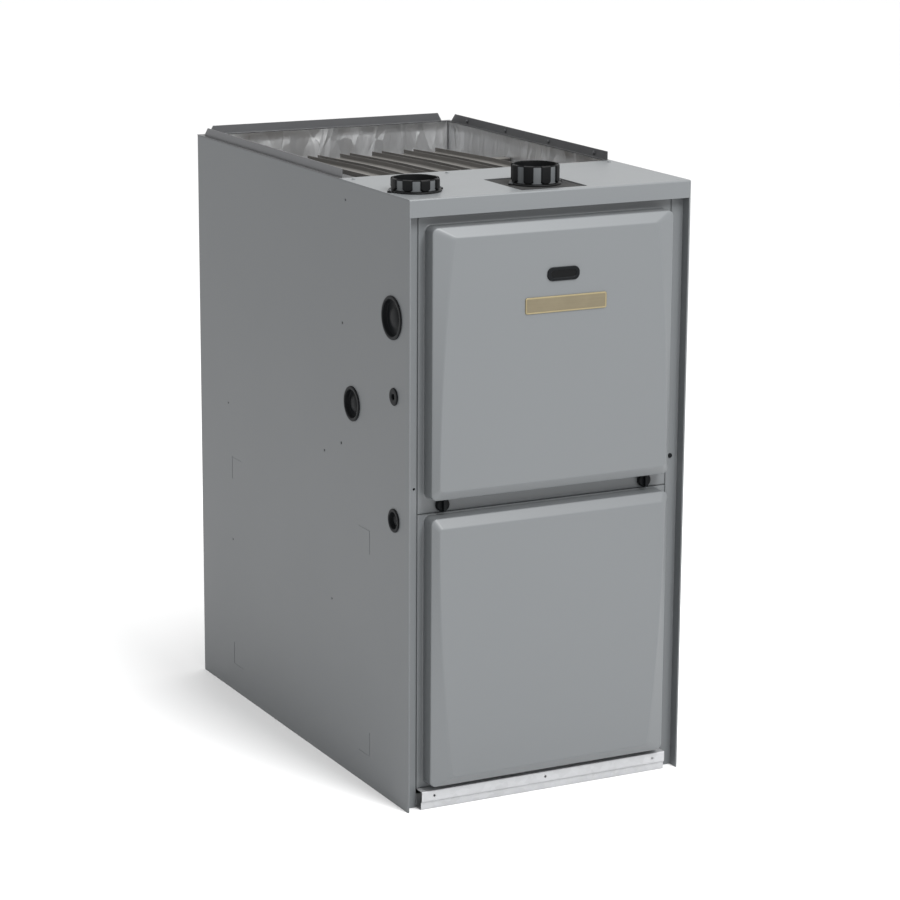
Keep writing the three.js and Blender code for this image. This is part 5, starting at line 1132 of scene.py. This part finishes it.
# ---------------------------------------------------------------- heat exchanger
def cell_line():
    """The way of the gas through a cell, as (y, z): three passes joined by two half turns."""
    rear, front, turn, half, gap = 330.0, -152.0, 38.0, 24.0, 34.0
    pass_2, pass_3 = 632.0, 556.0

    def half_turn(y, z, way):
        angles = [math.pi / 2 - math.pi * i / 16 for i in range(17)]
        return [(y + way * turn * math.cos(a), z + turn * math.sin(a)) for a in angles]

    line = [(front, FIRE), (front + turn, FIRE)]
    line += half_turn(rear - turn - half, pass_2 + turn, 1)
    line += half_turn(front + turn + half + gap, pass_3 + turn, -1)
    return line + [(rear, pass_3)]


def exchanger_cells():
    """Clamshell cells: a rounded tube that doubles back twice, with a crimped seam round it."""
    line = cell_line()
    dense = []
    for (y0, z0), (y1, z1) in zip(line, line[1:]):
        runs = max(1, int(math.hypot(y1 - y0, z1 - z0) / 22))
        dense += [(y0 + (y1 - y0) * i / runs, z0 + (z1 - z0) * i / runs) for i in range(runs)]
    dense.append(line[-1])
    for number, x in enumerate(BURNER_XS, 1):
        path = [(x, y, z) for y, z in dense]
        form = Form()
        outer = rounded_rectangle(16.8, 20.5, 13.0, 6)
        inner = rounded_rectangle(15.4, 19.1, 11.8, 6)
        tube(form, path, outer, inner)
        seam(form, path, 20.0, 23.8, 1.0)
        form.make(f"clamshell_cell_{number}", [dulled_steel], "aluminised_steel",
                  replaces=f"exchanger_cell_{number}", sharp=40)


def heat_slats():
    """Narrow steel slats on two bars over the cells, rising a little to the front."""
    form = Form()
    front, rear, z_front, z_rear, sag = -146.0, 214.0, 861.0, 849.0, 1.5
    section = folded([(-19, -7), (-19, 0), (19, 0), (19, -7)], 1.0, 2.0)
    for x in (-124, -69, -14, 41, 96):
        halfway = (x, (front + rear) / 2, (z_front + z_rear) / 2 + sag)
        form.sweep([(x, front, z_front), halfway, (x, rear, z_rear)], section, (1, 0, 0))
    reach = 214.2
    for y, z in ((-96.0, 850.5), (160.0, 842.0)):
        form.block((-reach, y - 9, z - 3), (reach, y + 9, z), edge=0.5, steps=1)
        for side in SIDES:
            xs = sorted((side * reach, side * (reach - 1)))
            form.block((xs[0], y - 9, z - 16), (xs[1], y + 9, z), edge=0.3, steps=1)
    form.make("heat_slats", [slat_steel], "aluminised_steel")


def tube(form, path, outer, inner):
    """A pipe wall, slightly rippled: an outer and an inner skin joined at both open ends."""
    count = len(outer)
    across = Vector((1, 0, 0))
    skins = []
    for outline in (outer, inner):
        for i, (here, run) in enumerate(headings(path)):
            up = run.cross(across).normalized()
            ripple = 1.0 - 0.06 * (i % 2)
            skins += [tuple(here + across * u * ripple + up * v) for u, v in outline]
    rows = [range(k * count * len(path), (k + 1) * count * len(path), count) for k in (0, 1)]
    form.shell(skins, bands(rows[0], count) + bands(rows[1], count)
               + bands([rows[0][0], rows[1][0]], count)
               + bands([rows[0][-1], rows[1][-1]], count))


def seam(form, path, inside, outside, half):
    """The crimped seam: a thin band on both sides of a path, in its own plane."""
    for side in SIDES:
        points = []
        for here, run in headings(path):
            up = run.cross(Vector((1, 0, 0))).normalized() * side
            for x, reach in ((-half, inside), (half, inside), (half, outside), (-half, outside)):
                points.append(tuple(here + Vector((x, 0, 0)) + up * reach))
        starts = range(0, len(points), 4)
        last = starts[-1]
        form.shell(points, bands(starts, 4) + [(3, 2, 1, 0), (last, last + 1, last + 2, last + 3)])


def condensing_coil():
    """Close aluminium fins on copper tubes, in a galvanised end plate at each side."""
    low, high = span("secondary_coil")
    form = Form()
    fins = 74
    for i in range(fins):
        y = low.y + 1.0 + (high.y - low.y - 2.6) * i / (fins - 1)
        form.block((low.x + 2, y, low.z + 1), (high.x - 2, y + 0.6, high.z - 1), edge=0)
    for x in (low.x, high.x - 1.6):
        form.block((x, low.y, low.z), (x + 1.6, high.y, high.z), finish=1, edge=0.3, steps=1)
    for row, z in enumerate((low.z + 22, low.z + 43, low.z + 64)):
        for k in range(14):
            x = low.x + 18 + 25.6 * k + (0 if row % 2 else 10)
            if x < high.x - 12:
                form.rod("y", (x, z), 5.5, low.y, high.y, finish=2, steps=14)
    form.make("finned_coil", [coil_fins, zinc_sheet, copper_tube], "coil_aluminium",
              replaces="secondary_coil")


# ---------------------------------------------------------------- burners and gas train
def burners():
    """Short turned tubes with a flared mouth, ribs round the waist and a flange at the rear."""
    for number, x in enumerate(BURNER_XS, 1):
        low, high = span(f"burner_{number}")
        front, rear = low.y, high.y
        centre = (x, FIRE)
        form = Form()
        form.lathe("y", [(9, front), (9, front + 60), (9, rear - 32), (15.8, rear - 4), (16, rear),
                         (23, rear), (23, rear - 2.6), (18.5, rear - 3.4), (17.6, rear - 7),
                         (11.5, rear - 30), (11, rear - 34), (11, front + 19), (13, front + 11),
                         (17.2, front + 2), (18, front + 0.6), (17.6, front), (15, front)],
                   centre, steps=40, closed=True)
        for turn in range(5):
            y = front + 26 + 9 * turn
            form.lathe("y", [(10.6, y), (11.7, y + 0.8), (11.7, y + 2.2), (10.6, y + 3)], centre,
                       steps=32, closed=True)
        form.make(f"inshot_burner_{number}", [dulled_steel], "aluminised_steel",
                  replaces=f"burner_{number}")


def gas_manifold():
    """A bar across the burners with a brass nut in front of each."""
    form = Form("gas_manifold").soften_all(1.6, 3)
    rear = span("gas_manifold")[1].y
    for x in BURNER_XS:
        form.prism("y", around(5.6, 6, 0.5), rear - 9.5, rear - 5.0, finish=1, edge=0.4, steps=1,
                   centre=(x, FIRE))
    form.make("gas_manifold_bar", [dark_steel, tab_brass], "dark_steel", replaces="gas_manifold")


def gas_valve():
    """A cast body with four screws and a boss for its test port."""
    low, high = span("gas_valve")
    form = Form("gas_valve").soften_all(1.2, 2)
    for x in (low.x + 8, high.x - 8):
        for z in (738, 802):
            form.screw("y", (x, z), low.y + 0.2, -0.2, finish=1, radius=3.2)
    form.rod("z", ((low.x + high.x) / 2 - 4, low.y + 40), 5, 811, 813.5, finish=1, steps=20)
    form.make("gas_valve_body", [cast_metal, screw_zinc], "cast_aluminium", replaces="gas_valve")


def gas_valve_knob():
    """A dial with a notched rim, a grip across it and a shaft."""
    low, high = span("gas_valve_knob")
    centre = centre_of("gas_valve_knob", "y")
    base = high.y - 9.0
    rim = [(u * r, v * r) for k, (u, v) in enumerate(around(1.0, 72))
           for r in [12.9 if k % 3 else 12.3]]
    form = Form()
    form.prism("y", rim, base, base - 4.2, edge=0.4, steps=2, centre=centre)
    form.prism("y", rounded_rectangle(3.4, 11.8, 3.0, 5), base - 3, low.y, edge=0.8, steps=3,
               centre=centre)
    form.lathe("y", [(0, base - 1), (3, base - 1), (3, high.y - 0.5), (2.4, high.y), (0, high.y)],
               centre, steps=20)
    form.make("gas_valve_dial", [black_plastic], "black_plastic",
              "gas_valve_knob", replaces="gas_valve_knob")


def probes():
    """The igniter, a notched blade, and the flame sensor, a rod. Both stand in ceramic."""
    seat = 721.7  # upper face of the burner box's floor
    for node in ("igniter", "flame_sensor"):
        low, high = span(node)
        x, y = centre_of(node, "z")
        form = Form()
        form.lathe("z", [(0, low.z), (5.2, low.z), (6, low.z + 1.5), (6, low.z + 27),
                         (5, low.z + 28), (0, low.z + 28)], (x, y), steps=28)
        form.lathe("z", [(6, seat - 3), (9.6, seat - 3), (10, seat - 2.4), (10, seat - 0.3),
                         (9.6, seat), (6, seat)], (x, y), finish=1, steps=28, closed=True)
        if node == "igniter":
            form.prism("y", [(-4.4, low.z + 26), (4.4, low.z + 26), (4.4, high.z - 3),
                             (3, high.z), (1.2, high.z), (1.2, low.z + 33), (-1.2, low.z + 33),
                             (-1.2, high.z), (-3, high.z), (-4.4, high.z - 3)],
                       y - 1.2, y + 1.2, finish=2, centre=(x, 0))
        else:
            form.lathe("z", [(0, low.z + 27), (1.5, low.z + 27), (1.5, high.z - 1),
                             (0.8, high.z), (0, high.z)], (x, y), finish=1, steps=12)
        form.make(node + "_probe", [ceramic_white, screw_zinc, dark_steel], "ceramic",
                  replaces=node)


def rollout_switch():
    """A round switch on an oblong plate with two screws and two tabs, and its red button."""
    low, high = span("rollout_switch")
    x, z = centre_of("rollout_switch", "y")
    rear, front = high.y, low.y
    form = Form()
    form.lathe("y", [(3.3, rear - 1.4), (3.3, front), (9.4, front), (10.6, front + 0.8),
                     (11, front + 2), (11, rear - 0.6), (3.3, rear - 0.6)], (x, z), steps=40,
               closed=True)
    form.prism("y", rounded_rectangle(18.8, 5.8, 4.0, 5), rear - 1, rear, finish=1, edge=0.2,
               steps=1, centre=(x, z))
    for side in SIDES:
        form.screw("y", (x + side * 15, z), rear - 1, -0.9, finish=1, radius=3)
        form.block((x + side * 5 - 1, front, z + 5), (x + side * 5 + 1, front + 3, z + 9),
                   finish=2, edge=0.2, steps=1)
    form.make("rollout_switch_body", [relay_black, screw_zinc, tab_brass], "black_plastic",
              replaces="rollout_switch")
    low, high = span("rollout_reset_button")
    button = Form().lathe("y", [(0, low.y), (2.2, low.y + 0.1), (2.8, low.y + 0.6),
                                (3, low.y + 1.4), (3, high.y), (0, high.y)],
                          centre_of("rollout_reset_button", "y"), steps=28)
    button.make("rollout_button", [red_plastic], "red_plastic", "rollout_reset_button",
                replaces="rollout_reset_button")


# ---------------------------------------------------------------- draught inducer
def inducer_housing():
    """The collector box and the scroll in front of it, with two raised rings and five screws."""
    Form("collector_box").soften_all(1.4, 3).make("collector_moulding", [black_plastic],
                                                  "black_plastic", replaces="collector_box")
    form = Form("inducer_housing").soften_all(1.2, 2, 40)
    front = span("inducer_housing")[0].y
    cx, cz = INDUCER
    for k, reach in enumerate((56, 58, 62, 66, 72)):
        angle = math.radians(-130 + 52 * k)
        at = (cx + reach * math.cos(angle), cz + reach * math.sin(angle))
        form.screw("y", at, front + 0.1, -0.5, finish=1, radius=3.2)
    for r in (28, 40):
        form.lathe("y", [(r, front + 0.3), (r, front), (r + 1.5, front), (r + 1.5, front + 0.3)],
                   INDUCER, steps=48, closed=True)
    form.make("inducer_scroll_moulding", [black_plastic, screw_zinc], "black_plastic",
              replaces="inducer_housing", sharp=55)


def inducer_motor():
    """A drum with two end bells, vents round the front one and ribs round its waist."""
    low, high = span("inducer_motor")
    rear, front = high.y, low.y
    form = Form()
    form.lathe("y", [(0, rear - 18), (4.3, rear - 18), (4.3, rear), (29, rear), (30, rear - 1),
                     (30, rear - 8), (37, rear - 11), (38, rear - 12.5), (38, rear - 20),
                     (36.6, rear - 21), (36.6, front + 22), (38, front + 21), (38, front + 14),
                     (36.5, front + 9), (32, front + 5.5), (22, front + 3), (14, front + 1),
                     (12, front), (0, front)], INDUCER, steps=56)
    for at in around(26, 18, centre=INDUCER):
        form.lathe("y", [(0, front + 3.3), (2.4, front + 3.4), (2.9, front + 4.6),
                         (0, front + 4.8)], at, finish=1, steps=12)
    for x, z in around(36.4, 28, centre=INDUCER):
        form.block((x - 0.8, front + 23, z - 0.8), (x + 0.8, rear - 22, z + 0.8), edge=0.3,
                   steps=1)
    form.make("inducer_motor_body", [motor_paint, relay_black], "motor_steel",
              replaces="inducer_motor")
    Form("inducer_wheel").soften_all(0.4, 1).make(
        "inducer_fan", [coil_fins], "coil_aluminium", "inducer_wheel", replaces="inducer_wheel",
        sharp=40)


def pressure_switch():
    """A flat can of two crimped halves with two tabs and a hose barb, its hose and the trap."""
    centre = x, z = centre_of("pressure_switch", "y")
    rear = span("pressure_switch")[1].y
    form = Form()
    form.lathe("y", [(0, rear), (26, rear), (27, rear - 1), (27, rear - 9), (29.6, rear - 10),
                     (30, rear - 10.6), (30, rear - 13.4), (29.6, rear - 14), (27, rear - 15),
                     (26, rear - 24), (24, rear - 26), (20.6, rear - 26.4), (20, rear - 30),
                     (19, rear - 31), (3.6, rear - 31), (3.4, rear - 32), (3.4, rear - 36),
                     (3.9, rear - 36.6), (3.2, rear - 39), (0, rear - 39)], centre, steps=56)
    for at in around(27.6, 10, centre=centre):
        form.screw("y", at, rear - 13.8, -0.7, finish=1, radius=1.9)
    for side in SIDES:
        tab = x + side * 12
        form.block((tab - 3.2, rear - 37, z - 0.5), (tab + 3.2, rear - 30.5, z + 0.5), finish=2,
                   edge=0.15, steps=1)
    form.make("pressure_switch_can", [switch_beige, screw_zinc, tab_brass], "ceramic",
              replaces="pressure_switch")
    Form("pressure_hose").make("pressure_tube", [black_rubber], "rubber", replaces="pressure_hose",
                               sharp=70)
    Form("condensate_trap").soften_all(1.6, 3).make("condensate_trap_moulding", [black_plastic],
                                                    "black_plastic", replaces="condensate_trap")


# ---------------------------------------------------------------- blower
def blower_wheel():
    """A cage of curved blades between two rings, on a plate with a hub and a set screw."""
    inner, outer, half, blades = 109.0, 127.0, 101.5, 42
    form = Form()
    for side in SIDES:
        edge = side * half
        form.lathe("x", [(inner, edge), (outer - 0.6, edge), (outer, edge - side * 0.8),
                         (outer, edge - side * 3.4), (outer - 1.2, edge - side * 4),
                         (inner, edge - side * 2.0)], BLOWER, steps=72, closed=True)
    form.lathe("x", [(6.7, 22), (124.5, 22), (124.5, 24), (6.7, 24)], BLOWER, steps=72,
               closed=True)
    form.lathe("x", [(6.7, 9), (18.5, 9), (20, 10.5), (20, 21), (22, 22.5), (22, 23.5), (20, 25),
                     (20, 33.5), (18.5, 35), (6.7, 35)], BLOWER, steps=40, closed=True)
    form.rod("x", (BLOWER[0], BLOWER[1] + 19.2), 2.6, 12.5, 17.5, finish=1, steps=12)
    for k in range(blades):
        arc = []
        for i in range(6):
            share = i / 5
            r = inner + 1.0 + (outer - inner - 1.8) * share
            angle = 2 * math.pi * k / blades + 0.10 * math.sin(math.pi * share * 0.62)
            arc.append((r * math.cos(angle), r * math.sin(angle), angle + 0.5))
        one = [(u - 0.4 * math.sin(a), v + 0.4 * math.cos(a)) for u, v, a in arc]
        two = [(u + 0.4 * math.sin(a), v - 0.4 * math.cos(a)) for u, v, a in arc]
        form.prism("x", one + two[::-1], -half + 1.5, half - 1.5, centre=BLOWER)
    form.make("blower_wheel_cage", [zinc_sheet, screw_zinc], "galvanised_steel", "blower_wheel",
              replaces="blower_wheel", sharp=30)


def blower_motor():
    """A drum with slots in its left end, four screws and a shaft to the right."""
    low, high = span("blower_motor")
    left, shaft_end = low.x, high.x
    right = left + 140
    form = Form()
    form.lathe("x", [(0, left), (20, left), (23, left + 0.6), (24, left + 2), (26, left + 3),
                     (56, left + 7), (62, left + 10), (68.5, left + 17), (70, left + 20),
                     (70, left + 34), (69, left + 35), (69, right - 36), (70, right - 35),
                     (70, right - 20), (68.5, right - 16), (58, right - 6), (30, right - 2),
                     (20, right - 0.6), (6.4, right), (6.4, shaft_end - 1), (5.6, shaft_end),
                     (0, shaft_end)], BLOWER, steps=64)
    slot = [(-2.2, -9), (2.2, -9), (2.2, 9), (-2.2, 9)]
    for (c, d), at in zip(around(1.0, 20), around(42, 20, centre=BLOWER)):
        form.prism("x", [(b * c - a * d, a * c + b * d) for a, b in slot], left + 4.2, left + 7.0,
                   finish=1, centre=at)
    for at in around(60, 4, math.pi / 4, BLOWER):
        form.screw("x", at, left + 9.6, -1, finish=2, radius=3.6)
    form.make("blower_motor_body", [motor_paint, relay_black, screw_zinc], "motor_steel",
              replaces="blower_motor")


# ---------------------------------------------------------------- controls
def control_board():
    """A green board on four pegs with its relays, terminals, tabs and small parts."""
    low, high = span("control_board")
    left, bottom = low.x, low.z
    rear = high.y - 6
    front = rear - 2

    def part(u, v, wide, tall, deep, finish, edge=0.5, steps=2):
        """A block on the board, from its lower left corner."""
        form.block((left + u, front - deep, bottom + v),
                   (left + u + wide, front + 0.5, bottom + v + tall), finish, edge, steps)

    form = Form()
    form.block((left, front, bottom), (left + 150, rear, high.z), edge=0.3, steps=1)
    for u in (8, 142):
        for v in (8, 87):
            form.rod("y", (left + u, bottom + v), 3, rear - 1, high.y, finish=2, steps=16)
            form.screw("y", (left + u, bottom + v), front, -0.8, finish=4, radius=2.6)
    for u in (14, 40, 66):  # three relays and a larger one
        part(u, 50, 18, 20, 16, 1, 0.8)
    part(94, 46, 22, 28, 12, 1, 0.8)
    part(124, 20, 12, 60, 10, 2)  # terminal strip with six screws
    for k in range(6):
        form.lathe("y", [(0, front - 10.5), (3.0, front - 10.5), (3.3, front - 10),
                         (3.3, front - 8), (0, front - 8)],
                   (left + 130, bottom + 25 + 10 * k), finish=4, steps=16)
    part(14, 14, 44, 14, 10, 2, 0.6)  # plug socket with nine ways
    for u in (17 + 4.5 * k for k in range(9)):
        form.block((left + u, front - 10.6, bottom + 17), (left + u + 2.6, front - 9, bottom + 25),
                   finish=1, edge=0.2, steps=1)
    part(66, 14, 26, 18, 8, 1)
    for k in range(7):  # spade tabs
        part(22 + 13 * k, 80, 6.3, 0.8, 7, 3, 0.1, 1)
    for u, v, r, h in ((104, 24, 4.5, 11), (114, 34, 3.5, 8), (84, 40, 3, 7), (60, 38, 2.6, 6)):
        form.lathe("y", [(0, front - h), (r - 0.5, front - h), (r, front - h + 0.5),
                         (r, front + 0.5), (0, front + 0.5)], (left + u, bottom + v), finish=1,
                   steps=24)
    for k in range(12):
        u, v = left + 16 + 8 * (k % 6), bottom + 36 + 6 * (k // 6)
        form.block((u, front - 1.8, v), (u + 5, front + 0.3, v + 2.2), finish=5, edge=0.3, steps=1)
    form.make("control_board_populated",
              [board_green, relay_black, terminal_white, tab_brass, screw_zinc, winding_tape],
              "circuit_board", replaces="control_board")


def transformer():
    """Stacked core plates round a taped winding, on a strap with two screws and six tabs."""
    low, high = span("transformer")
    x, foot_z = centre_of("transformer", "y")
    rear, top = high.y, high.z - 8
    half = 26.0
    form = Form()
    for k in range(16):
        y = rear - 34 + 2.0 * k
        inset = 0.25 * (k % 2)
        form.block((x - half + inset, y, top - 52 + inset),
                   (x + half - inset, y + 1.9, top - inset), edge=0.2, steps=1)
    form.block((x - 16, rear - 44, top - 60), (x + 16, rear - 1.5, top + 8), finish=1, edge=3.0,
               steps=4)
    form.block((low.x, rear - 2, foot_z - 10), (high.x, rear, foot_z + 10), finish=2, edge=0.4,
               steps=1)
    for side in SIDES:
        form.screw("y", (x + side * 42, foot_z), rear - 2, -1, finish=3, radius=4)
        z = foot_z + side * 33.6
        for k in range(3):
            form.block((x - 9 + 8 * k, rear - 43, z - 0.4), (x - 3 + 8 * k, rear - 34, z + 0.4),
                       finish=4, edge=0.1, steps=1)
    form.make("transformer_wound", [core_steel, winding_tape, zinc_sheet, screw_zinc, tab_brass],
              "dark_steel", replaces="transformer")


def door_switch():
    """A small switch box and the pin that the lower door pushes in."""
    low, high = span("door_switch")
    hole = Form().rod("y", centre_of("door_switch", "y"), 3.3, low.y - 2, high.y - 4, steps=24)
    box = Form().block(tuple(low), tuple(high), edge=1.2, steps=3)
    box.make("door_switch_body", [relay_black], "black_plastic", replaces="door_switch", cuts=hole)
    low, high = span("door_switch_plunger")
    pin = Form().lathe("y", [(0, low.y), (1.6, low.y + 0.2), (2.6, low.y + 1), (3, low.y + 2.4),
                             (3, high.y), (0, high.y)], centre_of("door_switch_plunger", "y"),
                       steps=28)
    pin.make("door_switch_pin", [terminal_white], "ceramic", "door_switch_plunger",
             replaces="door_switch_plunger")


cabinet_body()
front_hems()
cap()
collar()
rail()
inner_sheets()
inner_screws()
for wall in ("back", "left", "right"):
    foil_lining(wall)
doors()
window()
knob(-1)
knob(1)
badge()
vents()
side_plugs()
exchanger_cells()
heat_slats()
condensing_coil()
burners()
gas_manifold()
gas_valve()
gas_valve_knob()
probes()
rollout_switch()
inducer_housing()
inducer_motor()
pressure_switch()
blower_wheel()
blower_motor()
control_board()
transformer()
door_switch()
